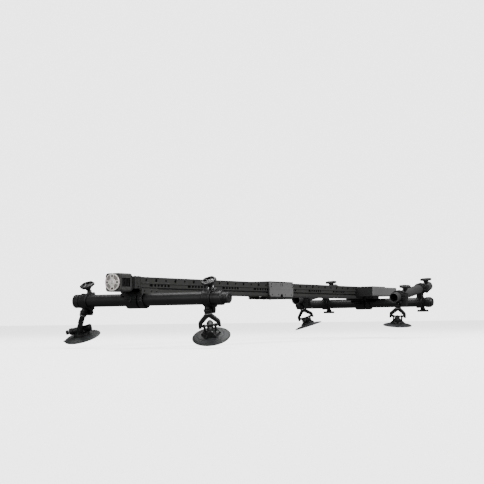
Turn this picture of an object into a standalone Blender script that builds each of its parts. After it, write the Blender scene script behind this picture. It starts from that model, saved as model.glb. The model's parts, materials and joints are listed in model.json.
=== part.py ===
"""Motorised camera slider on two cross tubes and four suction-cup legs.

World frame, in metres: +X runs along the rail from the motor end to the control end, +Z is up, and the
origin is the centre of the carriage deck's top face with the carriage at mid-rail. Heights below are
measured from the axis of the cross tubes, which the empty "tube_level" holds below the origin.
"""

import math

import bmesh
import bpy
from mathutils import Matrix, Vector

MM = 0.001
GAP = 0.3 * MM
SLIDING_GAP = 0.5 * MM

# Tubes
TUBE_R = 25 * MM
TUBE_WALL = 3 * MM
BORE_R = TUBE_R + GAP
FRONT_TUBE_X = -1121 * MM
REAR_TUBE_X = 1064 * MM
FRONT_TUBE_Y = (-403 * MM, 291 * MM)
REAR_TUBE_Y = (-404 * MM, 400 * MM)

# Rail section, heights from the cross-tube axis
RAIL_X = (-1149 * MM, 1189 * MM)
RAIL_HALF_WIDTH = 50 * MM
RAIL_BOTTOM = 25.5 * MM
RAIL_TOP = 90 * MM
GROOVE_Z = (40 * MM, 46 * MM)
GROOVE_DEPTH = 6 * MM
CHANNEL_HALF_WIDTH = 32 * MM
CHANNEL_FLOOR = 72 * MM
TUNNEL_HALF_WIDTH = 40 * MM
TUNNEL_Z = (29 * MM, 68 * MM)
CHAMFER = 3.5 * MM
SIDE_HOLE_R = 4.5 * MM
SIDE_HOLE_Z = 77 * MM
SIDE_HOLE_START = -1078 * MM
SIDE_HOLE_PITCH = 140 * MM
SIDE_HOLE_COUNT = 17

# Belt drive
BELT_Z = (48 * MM, 80 * MM)
BELT_THICKNESS = 1.5 * MM
BELT_HALF_WIDTH = 6 * MM
PULLEY_Z = sum(BELT_Z) / 2
PULLEY_R = (BELT_Z[1] - BELT_Z[0] - BELT_THICKNESS) / 2 - GAP
PULLEY_HALF_WIDTH = 7 * MM
PULLEY_SHAFT_R = 4 * MM
PULLEY_SHAFT_HALF = 25 * MM
BLOCK_LENGTH = 39 * MM
BLOCK_WALL = 4.5 * MM
DRIVE_PULLEY_X = RAIL_X[0] - 17 * MM
IDLER_PULLEY_X = RAIL_X[1] + 17 * MM
BLOCK_Z = (43 * MM, 92 * MM)
BLOCK_SLOT_Z = (46 * MM, 84 * MM)

# Motor
MOTOR_Z = 66.5 * MM
MOTOR_HALF = 34.5 * MM
HOUSING_X = (RAIL_X[0] - 118 * MM, RAIL_X[0] - BLOCK_LENGTH - 2 * GAP)
MOTOR_FACE_R = 33.5 * MM
MOTOR_FACE_X = HOUSING_X[0] - 9 * MM
MOTOR_BODY_R = 28 * MM
MOTOR_NOSE_R = 8 * MM

# Carriage
DECK_Z = (91 * MM, 96 * MM)
CARRIAGE_HALF_LENGTH = 118 * MM
CARRIAGE_HALF_WIDTH = 62 * MM
SIDE_PLATE_THICKNESS = 8 * MM
BASE_Z = (13 * MM, 23 * MM)
ROLLER_X = 90 * MM
ROLLER_R = 12 * MM
ROLLER_Z = (76 * MM, 84 * MM)
ROLLER_Y = CHANNEL_HALF_WIDTH - ROLLER_R - GAP
AXLE_R = 5 * MM
DECK_HOLE = 38 * MM

# Control box
BOX_X = (873 * MM, 1213 * MM)
BOX_Y = (-148 * MM, -50.3 * MM)
BOX_Z = (38 * MM, 86 * MM)
BOX_WALL = 3 * MM

# Brackets
BRACKET_HALF_WIDTH = 58 * MM
BRACKET_REACH = (35 * MM, 83 * MM)
LIP_INSIDE = RAIL_HALF_WIDTH + GAP
RING_R = 35 * MM
STRAP_SPANS = ((-27 * MM, 30 * MM), (-55 * MM, -33 * MM))

# Legs, in the clamp's own frame: the tube along Y, the clamp screw at +X
CLAMP_HALF = 18.5 * MM
CLAMP_R = 31 * MM
SCREW_OFFSET = 38 * MM
SCREW_R = 5 * MM
KNOB_R = 30 * MM
KNOB_Z = (45 * MM, 59 * MM)
KNOB_LOBES = 6
SCREW_END = -44 * MM
NECK_R = 8 * MM
BALL_R = 12 * MM
BALL_REACH = 41 * MM
SOCKET_GAP = 0.7 * MM
FRONT_NECK_ANGLE = math.radians(45)
REAR_NECK_ANGLE = 0.0

# The gusset under a front leg's clamp, upright when the clamp leans by this much
GUSSET_LEAN = math.radians(-30.5)
GUSSET_HALF_WIDTH = 13 * MM
GUSSET = ((-10, -22), (30, -16), (34, -44), (30, -58), (18, -58), (13, -50), (10, -34))

# Forks, in their own frame: the ball's centre at the origin, the foot towards -Z, the pin along Y
SOCKET_R = 16 * MM
SOCKET_Z = (-2 * MM, -24 * MM)
FORK_ARM = 10 * MM
FORK_HALF_WIDTH = 43 * MM
FORK_SHOULDER = 15 * MM
FORK_DEPTH = 15 * MM
PIN_Z = -68 * MM
PIN_R = 4 * MM

# Suction cups, from their pin
PUMP_Z = -14 * MM
PUMP_R = 14 * MM
PUMP_HALF = 46 * MM
PLUNGER_R = 8 * MM
CUP_R = 75 * MM
CUP_TOP = -37 * MM
CUP_HEIGHT = 12 * MM

# Outriggers, tilted so that their front ends hang lower
OUTRIGGER_TILT = math.radians(8.1)
OUTRIGGER_RISE = 73 * MM
OUTRIGGER_FRONT = -376 * MM
OUTRIGGER_REAR = 128 * MM
OUTRIGGER_LEG = -313 * MM
OUTRIGGER_Y = {"near": -346 * MM, "far": 223 * MM}

COLOURS = {
    "anodised_black": ((0.035, 0.035, 0.037), 0.42, 0.6),
    "satin_black": ((0.045, 0.045, 0.047), 0.5, 0.3),
    "plate_grey": ((0.13, 0.13, 0.13), 0.45, 0.5),
    "silver": ((0.75, 0.72, 0.70), 0.32, 1.0),
    "rubber": ((0.05, 0.052, 0.055), 0.6, 0.0),
    "belt_black": ((0.02, 0.02, 0.02), 0.8, 0.0),
    "board_green": ((0.02, 0.12, 0.05), 0.5, 0.0),
    "steel": ((0.5, 0.5, 0.5), 0.3, 1.0),
}


def clear_scene():
    for item in list(bpy.data.objects):
        bpy.data.objects.remove(item, do_unlink=True)


def make_material(name):
    colour, roughness, metallic = COLOURS[name]
    material = bpy.data.materials.new(name)
    material.use_nodes = True
    shader = material.node_tree.nodes["Principled BSDF"]
    shader.inputs["Base Color"].default_value = (*colour, 1)
    shader.inputs["Roughness"].default_value = roughness
    shader.inputs["Metallic"].default_value = metallic
    return material


def make_empty(name, parent=None, matrix=None):
    empty = bpy.data.objects.new(name, None)
    bpy.context.scene.collection.objects.link(empty)
    empty.parent = parent
    if matrix is not None:
        empty.matrix_local = matrix
    return empty


# --- Solids ------------------------------------------------------------------------------------------

def solid_from_bmesh(mesh_data, name):
    bmesh.ops.recalc_face_normals(mesh_data, faces=mesh_data.faces)
    mesh = bpy.data.meshes.new(name)
    mesh_data.to_mesh(mesh)
    mesh_data.free()
    solid = bpy.data.objects.new(name, mesh)
    bpy.context.scene.collection.objects.link(solid)
    return solid


def prism(name, outline, axis, span):
    """Extrude an outline along an axis: Y-Z outlines along X, X-Z outlines along Y, X-Y along Z."""
    place = {
        "X": lambda p, t: (t, p[0], p[1]),
        "Y": lambda p, t: (p[0], t, p[1]),
        "Z": lambda p, t: (p[0], p[1], t),
    }[axis]
    mesh_data = bmesh.new()
    rings = [[mesh_data.verts.new(place(p, t)) for p in outline] for t in span]
    mesh_data.faces.new(rings[0])
    mesh_data.faces.new(rings[1])
    for i in range(len(outline)):
        j = (i + 1) % len(outline)
        mesh_data.faces.new((rings[0][i], rings[0][j], rings[1][j], rings[1][i]))
    return solid_from_bmesh(mesh_data, name)


def box(name, x_span, y_span, z_span):
    x0, x1 = x_span
    y0, y1 = y_span
    outline = [(x0, y0), (x1, y0), (x1, y1), (x0, y1)]
    return prism(name, outline, "Z", z_span)


def circle(radius, segments, centre=(0, 0), start=0.0, sweep=math.tau):
    """Points on an arc, without the closing point when the arc is a full turn."""
    steps = segments if sweep >= math.tau else segments - 1
    angles = [start + sweep * i / steps for i in range(segments)]
    return [(centre[0] + radius * math.cos(a), centre[1] + radius * math.sin(a)) for a in angles]


def lathe(name, profile, segments, axis="Z"):
    """Turn a closed profile of (radius, height) points about an axis; points at radius 0 are poles."""
    place = {
        "X": lambda r, a, h: (h, r * math.cos(a), r * math.sin(a)),
        "Y": lambda r, a, h: (r * math.sin(a), h, r * math.cos(a)),
        "Z": lambda r, a, h: (r * math.cos(a), r * math.sin(a), h),
    }[axis]
    mesh_data = bmesh.new()
    rings = []
    for radius, height in profile:
        if radius == 0:
            rings.append([mesh_data.verts.new(place(0, 0, height))])
            continue
        angles = [math.tau * i / segments for i in range(segments)]
        rings.append([mesh_data.verts.new(place(radius, a, height)) for a in angles])
    for k in range(len(rings)):
        upper, lower = rings[k], rings[(k + 1) % len(rings)]
        if len(upper) == 1 and len(lower) == 1:
            continue
        for i in range(segments):
            j = (i + 1) % segments
            corners = [upper[i % len(upper)], upper[j % len(upper)]]
            corners += [lower[j % len(lower)], lower[i % len(lower)]]
            mesh_data.faces.new(list(dict.fromkeys(corners)))
    return solid_from_bmesh(mesh_data, name)


def rod(name, radius, span, axis, segments=16):
    return lathe(name, [(0, span[1]), (radius, span[1]), (radius, span[0]), (0, span[0])], segments, axis)


def place(solid, location=(0, 0, 0), rotation=None):
    """Move a solid's mesh within its own frame."""
    matrix = Matrix.Translation(Vector(location))
    if rotation is not None:
        matrix = matrix @ rotation
    solid.data.transform(matrix)
    return solid


def boolean(solid, tool, operation):
    modifier = solid.modifiers.new(operation.lower(), "BOOLEAN")
    modifier.operation = operation
    modifier.object = tool
    modifier.solver = "EXACT"
    bpy.context.view_layer.update()
    graph = bpy.context.evaluated_depsgraph_get()
    mesh = bpy.data.meshes.new_from_object(solid.evaluated_get(graph))
    solid.modifiers.clear()
    solid.data = mesh
    bpy.data.objects.remove(tool, do_unlink=True)
    return solid


def join(solid, *tools):
    for tool in tools:
        boolean(solid, tool, "UNION")
    return solid


def cut(solid, *tools):
    for tool in tools:
        boolean(solid, tool, "DIFFERENCE")
    return solid


def finish(solid, name, parent, material, smooth=False):
    solid.name = name
    solid.data.name = name
    solid.data.materials.clear()
    solid.data.materials.append(MATERIALS[material])
    solid.parent = parent
    if smooth:
        solid.data.shade_smooth()
        solid.data.set_sharp_from_angle(angle=math.radians(35))
    return solid


def copy_of(solid, name, parent):
    """A second object of the same piece, which shares its mesh."""
    twin = bpy.data.objects.new(name, solid.data)
    bpy.context.scene.collection.objects.link(twin)
    twin.parent = parent
    return twin


# --- Rail and belt drive -----------------------------------------------------------------------------

def rail_outline():
    half = RAIL_HALF_WIDTH
    right = [
        (half - CHAMFER, RAIL_BOTTOM),
        (half, RAIL_BOTTOM + CHAMFER),
        (half, GROOVE_Z[0]),
        (half - GROOVE_DEPTH, GROOVE_Z[0]),
        (half - GROOVE_DEPTH, GROOVE_Z[1]),
        (half, GROOVE_Z[1]),
        (half, RAIL_TOP - CHAMFER),
        (half - CHAMFER, RAIL_TOP),
        (CHANNEL_HALF_WIDTH, RAIL_TOP),
        (CHANNEL_HALF_WIDTH, CHANNEL_FLOOR),
    ]
    return right + [(-y, z) for y, z in reversed(right)]


def build_rail(frame):
    rail = prism("rail", rail_outline(), "X", RAIL_X)
    past_ends = (RAIL_X[0] - 10 * MM, RAIL_X[1] + 10 * MM)
    tunnel = box("tunnel", past_ends, (-TUNNEL_HALF_WIDTH, TUNNEL_HALF_WIDTH), TUNNEL_Z)
    cut(rail, tunnel)
    for k in range(SIDE_HOLE_COUNT):
        x = SIDE_HOLE_START + k * SIDE_HOLE_PITCH
        hole = rod("hole", SIDE_HOLE_R, (-60 * MM, 60 * MM), "Y", segments=8)
        cut(rail, place(hole, (x, 0, SIDE_HOLE_Z)))
    finish(rail, "rail", frame, "anodised_black")


def build_end_block(name, frame, inner_x, outwards):
    """A block on one end of the rail, open towards the rail, that holds a belt pulley."""
    outer_x = inner_x + outwards * BLOCK_LENGTH
    half = RAIL_HALF_WIDTH
    outline = [(-half, BLOCK_Z[0]), (half, BLOCK_Z[0]), (half, BLOCK_Z[1] - CHAMFER)]
    outline += [(half - CHAMFER, BLOCK_Z[1]), (CHAMFER - half, BLOCK_Z[1]), (-half, BLOCK_Z[1] - CHAMFER)]
    block = prism(name, outline, "X", sorted((inner_x, outer_x)))
    wall_x = outer_x - outwards * BLOCK_WALL
    slot_x = sorted((wall_x, inner_x - outwards * 5 * MM))
    cut(block, box("slot", slot_x, (-9 * MM, 9 * MM), BLOCK_SLOT_Z))
    shaft_reach = PULLEY_SHAFT_HALF + 1 * MM
    shaft_bore = rod("shaft_bore", PULLEY_SHAFT_R + GAP, (-shaft_reach, shaft_reach), "Y", segments=12)
    pulley_x = DRIVE_PULLEY_X if outwards < 0 else IDLER_PULLEY_X
    cut(block, place(shaft_bore, (pulley_x, 0, PULLEY_Z)))
    if outwards < 0:
        nose_bore = rod("nose_bore", MOTOR_NOSE_R + GAP, (outer_x - 5 * MM, wall_x + 3 * MM), "X", 12)
        cut(block, place(nose_bore, (0, 0, MOTOR_Z)))
    finish(block, name, frame, "satin_black")


def build_pulley(name, frame, x):
    axle = make_empty(name + "_axle", frame, Matrix.Translation((x, 0, PULLEY_Z)))
    half, shaft = PULLEY_HALF_WIDTH, PULLEY_SHAFT_HALF
    profile = [(0, shaft), (PULLEY_SHAFT_R, shaft), (PULLEY_SHAFT_R, half), (PULLEY_R, half)]
    profile += [(r, -h) for r, h in reversed(profile)]
    pulley = lathe(name, profile, 12, "Y")
    finish(pulley, name, axle, "steel", smooth=True)


def build_belt(frame):
    """The closed belt, a flat band round both pulleys."""
    inner_r = PULLEY_R + GAP
    outer_r = inner_r + BELT_THICKNESS

    def loop(radius):
        front = circle(radius, 9, (DRIVE_PULLEY_X, PULLEY_Z), math.pi / 2, math.pi)
        rear = circle(radius, 9, (IDLER_PULLEY_X, PULLEY_Z), -math.pi / 2, math.pi)
        return front + rear

    belt = prism("drive_belt", loop(outer_r), "Y", (-BELT_HALF_WIDTH, BELT_HALF_WIDTH))
    inside = prism("inside", loop(inner_r), "Y", (-BELT_HALF_WIDTH - MM, BELT_HALF_WIDTH + MM))
    cut(belt, inside)
    finish(belt, "drive_belt", frame, "belt_black")


def build_motor(frame):
    half, corner = MOTOR_HALF, 11 * MM
    section = []
    for sy, sz in ((1, -1), (1, 1), (-1, 1), (-1, -1)):
        first = (sy * (half - corner), sz * half)
        second = (sy * half, sz * (half - corner))
        section += [first, second] if sy * sz < 0 else [second, first]
    section = [(y, z + MOTOR_Z) for y, z in section]
    housing = prism("motor_housing", section, "X", HOUSING_X)
    bore = rod("bore", MOTOR_BODY_R + GAP, (HOUSING_X[0] - MM, HOUSING_X[1] - 5 * MM), "X", segments=24)
    nose = rod("nose", MOTOR_NOSE_R + GAP, (HOUSING_X[1] - 8 * MM, HOUSING_X[1] + MM), "X", segments=12)
    cut(housing, place(bore, (0, 0, MOTOR_Z)), place(nose, (0, 0, MOTOR_Z)))
    finish(housing, "motor_housing", frame, "satin_black")

    profile = [
        (0, HOUSING_X[1] + 3 * MM),
        (MOTOR_NOSE_R, HOUSING_X[1] + 3 * MM),
        (MOTOR_NOSE_R, HOUSING_X[1] - 6 * MM),
        (MOTOR_BODY_R, HOUSING_X[1] - 6 * MM),
        (MOTOR_BODY_R, HOUSING_X[0] - GAP),
        (MOTOR_FACE_R, HOUSING_X[0] - GAP),
        (MOTOR_FACE_R, MOTOR_FACE_X + MM),
        (MOTOR_FACE_R - MM, MOTOR_FACE_X),
        (0, MOTOR_FACE_X),
    ]
    gearmotor = lathe("gearmotor", profile, 24, "X")
    finish(place(gearmotor, (0, 0, MOTOR_Z)), "gearmotor", frame, "silver", smooth=True)


# --- Control box -------------------------------------------------------------------------------------

def build_control_box(frame):
    case = box("control_box", BOX_X, BOX_Y, BOX_Z)
    inner_x = (BOX_X[0] + BOX_WALL, BOX_X[1] - BOX_WALL)
    inner_z = (BOX_Z[0] + BOX_WALL, BOX_Z[1] - BOX_WALL)
    cut(case, box("hollow", inner_x, (BOX_Y[0] + BOX_WALL, BOX_Y[1] + MM), inner_z))
    finish(case, "control_box", frame, "plate_grey")

    lid = box("control_box_lid", (BOX_X[0] + 40 * MM, 1080 * MM), (BOX_Y[0] + 12 * MM, -62 * MM),
              (BOX_Z[1] + GAP, BOX_Z[1] + 4 * MM))
    finish(lid, "control_box_lid", frame, "satin_black")

    board = box("control_board", (BOX_X[0] + 30 * MM, BOX_X[1] - 30 * MM), (BOX_Y[0] + 15 * MM, -60 * MM),
                (BOX_Z[0] + 12 * MM, BOX_Z[0] + 26 * MM))
    finish(board, "control_board", frame, "board_green")


# --- Cross tubes and brackets ------------------------------------------------------------------------

def hollow_tube(name, span, axis):
    inner = TUBE_R - TUBE_WALL
    profile = [(TUBE_R, span[1]), (TUBE_R, span[0]), (inner, span[0]), (inner, span[1])]
    return lathe(name, profile, 24, axis)


def end_cap(name, frame, x, tube_end, outwards, sleeve, nose_r, nose):
    """A plug in a tube's end with a sleeve over the tube and a nose beyond it."""
    spigot_r = TUBE_R - TUBE_WALL - GAP
    steps = [
        (0, -22 * MM),
        (spigot_r, -22 * MM),
        (spigot_r, GAP),
        (BORE_R, GAP),
        (BORE_R, -sleeve),
        (BORE_R + 2.5 * MM, -sleeve),
        (BORE_R + 2.5 * MM, 3 * MM),
        (nose_r, 6 * MM),
        (nose_r, nose - 4 * MM),
        (nose_r - 4 * MM, nose),
        (0, nose),
    ]
    profile = [(r, tube_end + outwards * h) for r, h in steps]
    cap = lathe(name, profile, 24, "Y")
    finish(place(cap, (x, 0, 0)), name, frame, "satin_black", smooth=True)


def build_cross_tubes(frame):
    for name, x, span in (("front", FRONT_TUBE_X, FRONT_TUBE_Y), ("rear", REAR_TUBE_X, REAR_TUBE_Y)):
        tube = place(hollow_tube(name, span, "Y"), (x, 0, 0))
        finish(tube, name + "_cross_tube", frame, "anodised_black", smooth=True)
    end_cap("front_tube_cap", frame, FRONT_TUBE_X, FRONT_TUBE_Y[1], 1, 8 * MM, 24 * MM, 8 * MM)
    end_cap("front_tube_plug", frame, FRONT_TUBE_X, FRONT_TUBE_Y[0], -1, 22 * MM, 21.5 * MM, 33 * MM)
    end_cap("rear_tube_cap", frame, REAR_TUBE_X, REAR_TUBE_Y[1], 1, 8 * MM, 24 * MM, 8 * MM)
    end_cap("rear_tube_plug", frame, REAR_TUBE_X, REAR_TUBE_Y[0], -1, 18 * MM, 22.5 * MM, 14 * MM)


def build_bracket(name, frame, tube_x, facing, lip_top):
    """A saddle that grips the rail's lower flange and is clamped round a cross tube. Its long end faces
    +X or -X, and the far corner of its short end is cut off."""
    half = BRACKET_HALF_WIDTH
    short_end = tube_x - facing * BRACKET_REACH[0]
    long_end = tube_x + facing * BRACKET_REACH[1]
    far_start = short_end + facing * 24 * MM
    outline = [(short_end, -half), (long_end, -half), (long_end, half), (far_start, half)]
    outline += [(short_end + facing * 7 * MM, half - 7 * MM), (short_end, 40 * MM)]
    bracket = prism(name, outline, "Z", (16 * MM, 25.2 * MM))
    for side, start in ((-1, short_end), (1, far_start)):
        lip_x = sorted((start, long_end))
        lip_y = sorted((side * LIP_INSIDE, side * half))
        join(bracket, box("lip", lip_x, lip_y, (18 * MM, lip_top)))
    saddle_x = (tube_x - BRACKET_REACH[0], tube_x + BRACKET_REACH[0])
    join(bracket, box("saddle", saddle_x, (-half, 36 * MM), (-2 * MM, 20 * MM)))
    for span in STRAP_SPANS:
        strap = [(-RING_R, 10 * MM)] + circle(RING_R, 13, (0, 0), math.pi, math.pi) + [(RING_R, 10 * MM)]
        join(bracket, place(prism("strap", strap, "Y", span), (tube_x, 0, 0)))
    bore = rod("bore", BORE_R, (-half - MM, half + MM), "Y", segments=24)
    cut(bracket, place(bore, (tube_x, 0, 0)))
    finish(bracket, name, frame, "satin_black")


# --- Carriage ----------------------------------------------------------------------------------------

def build_carriage(frame):
    carriage = make_empty("carriage", frame)
    length, width = CARRIAGE_HALF_LENGTH, CARRIAGE_HALF_WIDTH
    inner_y = width - SIDE_PLATE_THICKNESS

    deck = box("carriage_deck", (-length, length), (-width, width), DECK_Z)
    for x in (-ROLLER_X, ROLLER_X):
        for y in (-ROLLER_Y, ROLLER_Y):
            axle = rod("axle", AXLE_R, (ROLLER_Z[0] - MM, DECK_Z[0] + 2 * MM), "Z", segments=12)
            join(deck, place(axle, (x, y, 0)))
    for x in (-DECK_HOLE, DECK_HOLE):
        for y in (-DECK_HOLE, DECK_HOLE):
            hole = rod("hole", 3.3 * MM, (DECK_Z[0] - MM, DECK_Z[1] + MM), "Z", segments=12)
            cut(deck, place(hole, (x, y, 0)))
    finish(deck, "carriage_deck", carriage, "satin_black")

    corner, notch_r = 8 * MM, 14 * MM
    bottom, top = BASE_Z[1] + GAP, DECK_Z[0] - GAP
    outline = [(-length, top), (-length, bottom + corner), (corner - length, bottom)]
    outline += circle(notch_r, 9, (0, bottom), math.pi, -math.pi)
    outline += [(length - corner, bottom), (length, bottom + corner), (length, top)]
    for name, sign in (("near", -1), ("far", 1)):
        plate = prism("plate", outline, "Y", sorted((sign * inner_y, sign * width)))
        finish(plate, "carriage_side_" + name, carriage, "plate_grey")

    base = box("carriage_base", (corner - length, length - corner), (-width, width), BASE_Z)
    finish(base, "carriage_base", carriage, "satin_black")

    clamp_top = DECK_Z[0] - GAP
    clamp = box("belt_clamp", (-25 * MM, 25 * MM), (-9.5 * MM, 9.5 * MM), (77 * MM, clamp_top))
    belt_room = BELT_HALF_WIDTH + SLIDING_GAP
    belt_z = (BELT_Z[1] - BELT_THICKNESS / 2 - SLIDING_GAP, BELT_Z[1] + BELT_THICKNESS / 2 + SLIDING_GAP)
    cut(clamp, box("belt_slot", (-30 * MM, 30 * MM), (-belt_room, belt_room), belt_z))
    finish(clamp, "belt_clamp", carriage, "plate_grey")

    roller_profile = [(ROLLER_R, ROLLER_Z[1]), (ROLLER_R, ROLLER_Z[0])]
    roller_profile += [(AXLE_R + GAP, ROLLER_Z[0]), (AXLE_R + GAP, ROLLER_Z[1])]
    mesh_owner = None
    for end, x in (("front", -ROLLER_X), ("rear", ROLLER_X)):
        for side, y in (("near", -ROLLER_Y), ("far", ROLLER_Y)):
            name = f"roller_{end}_{side}"
            axle = make_empty(name + "_axle", carriage, Matrix.Translation((x, y, 0)))
            if mesh_owner is None:
                roller = lathe(name, roller_profile, 16, "Z")
                mesh_owner = finish(roller, name, axle, "steel", smooth=True)
            else:
                copy_of(mesh_owner, name, axle)


# --- Star knob and tube clamps -----------------------------------------------------------------------

def star_outline(radius):
    """A star grip's outline: one smooth wave round a circle for each lobe."""
    points = 8 * KNOB_LOBES
    outline = []
    for i in range(points):
        angle = math.tau * i / points
        reach = radius * (0.88 + 0.12 * math.cos(KNOB_LOBES * angle))
        outline.append((reach * math.cos(angle), reach * math.sin(angle)))
    return outline


def build_knob(name, parent, grip_z, screw_end):
    """A star grip on its screw, turning about the parent's Z axis."""
    grip = prism(name, star_outline(KNOB_R), "Z", sorted(grip_z))
    low_end, high_end = sorted((grip_z[0], screw_end))
    overlap = 1 * MM if grip_z[0] > screw_end else -1 * MM
    span = (low_end, high_end + overlap) if overlap > 0 else (low_end + overlap, high_end)
    join(grip, rod("screw", SCREW_R, span, "Z", segments=10))
    return finish(grip, name, parent, "satin_black", smooth=True)


def clamp_ring(name):
    """The outline of a split ring with a lug on its +X side, for a tube along Y."""
    lug_x, lug_z = 49 * MM, 17 * MM
    start = math.asin(lug_z / CLAMP_R)
    arc = circle(CLAMP_R, 19, (0, 0), start, math.tau - 2 * start)
    return prism(name, arc + [(lug_x, -lug_z), (lug_x, lug_z)], "Y", (-CLAMP_HALF, CLAMP_HALF))


def open_clamp(clamp, slot_side):
    """Bore the ring for its tube, split its lug and drill the lug for the screw."""
    bore = rod("bore", BORE_R, (-CLAMP_HALF - MM, CLAMP_HALF + MM), "Y", segments=24)
    slit = box("slit", (20 * MM, 60 * MM), (-CLAMP_HALF - MM, CLAMP_HALF + MM), (-1 * MM, 1 * MM))
    screw_hole = rod("screw_hole", SCREW_R + GAP, slot_side, "Z", segments=10)
    return cut(clamp, bore, slit, place(screw_hole, (SCREW_OFFSET, 0, 0)))


# --- Suction-cup legs --------------------------------------------------------------------------------

def build_leg_clamp(name, parent, neck_angle):
    """The clamp on a tube, with the ball that the fork hangs on at neck_angle from straight down."""
    clamp = clamp_ring(name)
    lower_lug = box("lower_lug", (24 * MM, 49 * MM), (-15 * MM, 15 * MM), (-50 * MM, -15 * MM))
    ball_profile = [(0, BALL_R)]
    ball_profile += [(BALL_R * math.sin(a), BALL_R * math.cos(a)) for a in (0.6, 1.2, 1.9, 2.5)]
    ball_profile.append((0, -BALL_R))
    neck = rod("neck", NECK_R, (5 * MM - BALL_REACH, -27 * MM), "Z", segments=12)
    root = rod("root", 14 * MM, (-33 * MM, -27 * MM), "Z", segments=16)
    ball = place(lathe("ball", ball_profile, 16), (0, 0, -BALL_REACH))
    turn = Matrix.Rotation(neck_angle, 4, "Y")
    join(clamp, lower_lug, *(place(piece, rotation=turn) for piece in (root, neck, ball)))
    if neck_angle == FRONT_NECK_ANGLE:
        outline = [(x * MM, z * MM) for x, z in GUSSET]
        gusset = prism("gusset", outline, "Y", (-GUSSET_HALF_WIDTH, GUSSET_HALF_WIDTH))
        join(clamp, place(gusset, rotation=Matrix.Rotation(-GUSSET_LEAN, 4, "Y")))
    open_clamp(clamp, (SCREW_END - 2 * MM, 30 * MM))
    return finish(clamp, name, parent, "satin_black", smooth=True)


def build_fork(name, parent):
    """A wishbone under a socket: its two arms hold the cup's pin."""
    arm, half = FORK_ARM, FORK_HALF_WIDTH
    top, foot = SOCKET_Z[1] + 2 * MM, PIN_Z - 9 * MM
    knee = PIN_Z + 12 * MM
    outer = [(-half, foot), (-half, knee), (-FORK_SHOULDER, top), (FORK_SHOULDER, top), (half, knee), (half, foot)]
    inner = [(half - arm, foot), (half - arm, knee - 2 * MM), (0, top - 9 * MM)]
    inner += [(arm - half, knee - 2 * MM), (arm - half, foot)]
    fork = prism(name, outer + inner, "X", (-FORK_DEPTH / 2, FORK_DEPTH / 2))
    room = BALL_R + SOCKET_GAP
    bowl = [(room * math.sin(a), -room * math.cos(a)) for a in (0.35, 0.7, 1.05, 1.4)]
    profile = [(0, SOCKET_Z[1]), (SOCKET_R, SOCKET_Z[1]), (SOCKET_R, SOCKET_Z[0])]
    profile += list(reversed(bowl)) + [(0, -room)]
    socket = lathe("socket", list(reversed(profile)), 16)
    join(fork, socket)
    pin_hole = rod("pin_hole", PIN_R + GAP, (-half - MM, half + MM), "Y", segments=12)
    cut(fork, place(pin_hole, (0, 0, PIN_Z)))
    return finish(fork, name, parent, "satin_black", smooth=True)


def build_pump(name, parent):
    """The pump on the cup's back: hub, cross cylinder, and the pin it hangs on. Its origin is the pin."""
    pump = rod(name, PUMP_R, (-PUMP_HALF, PUMP_HALF), "X", segments=16)
    place(pump, (0, 0, PUMP_Z))
    waist, rim = PUMP_Z - 2 * MM, CUP_TOP + 6 * MM
    hub = lathe("hub", [(0, waist), (20 * MM, waist), (29 * MM, rim), (29 * MM, CUP_TOP), (0, CUP_TOP)], 20)
    saddle = box("saddle", (-10 * MM, 10 * MM), (-24 * MM, 24 * MM), (PUMP_Z - 4 * MM, 7 * MM))
    pin = rod("pin", PIN_R, (-FORK_HALF_WIDTH, FORK_HALF_WIDTH), "Y", segments=12)
    join(pump, hub, saddle, pin)
    bore = rod("bore", PLUNGER_R + GAP, (PUMP_HALF - 30 * MM, PUMP_HALF + MM), "X", segments=12)
    cut(pump, place(bore, (0, 0, PUMP_Z)))
    return finish(pump, name, parent, "satin_black", smooth=True)


def build_cup(name, parent):
    """The rubber cup: a thin dish, open below."""
    edge = CUP_TOP - CUP_HEIGHT
    profile = [
        (0, CUP_TOP - GAP),
        (34 * MM, CUP_TOP - GAP),
        (62 * MM, CUP_TOP - 4 * MM),
        (CUP_R - 2 * MM, edge + 4 * MM),
        (CUP_R, edge + 2 * MM),
        (CUP_R, edge),
        (CUP_R - 6 * MM, edge),
        (CUP_R - 12 * MM, edge + 3 * MM),
        (0, edge + 3.5 * MM),
    ]
    cup = lathe(name, profile, 28)
    return finish(cup, name, parent, "rubber", smooth=True)


def build_plunger(name, parent):
    plunger = rod(name, PLUNGER_R, (PUMP_HALF - 14 * MM, PUMP_HALF + 15 * MM), "X", segments=12)
    return finish(plunger, name, parent, "satin_black", smooth=True)


LEG_PARTS = {}


def leg_piece(kind, name, parent, build, *settings):
    """Build a leg's piece once; the other legs share its mesh."""
    if kind in LEG_PARTS:
        return copy_of(LEG_PARTS[kind], name, parent)
    LEG_PARTS[kind] = build(name, parent, *settings)
    return LEG_PARTS[kind]


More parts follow.
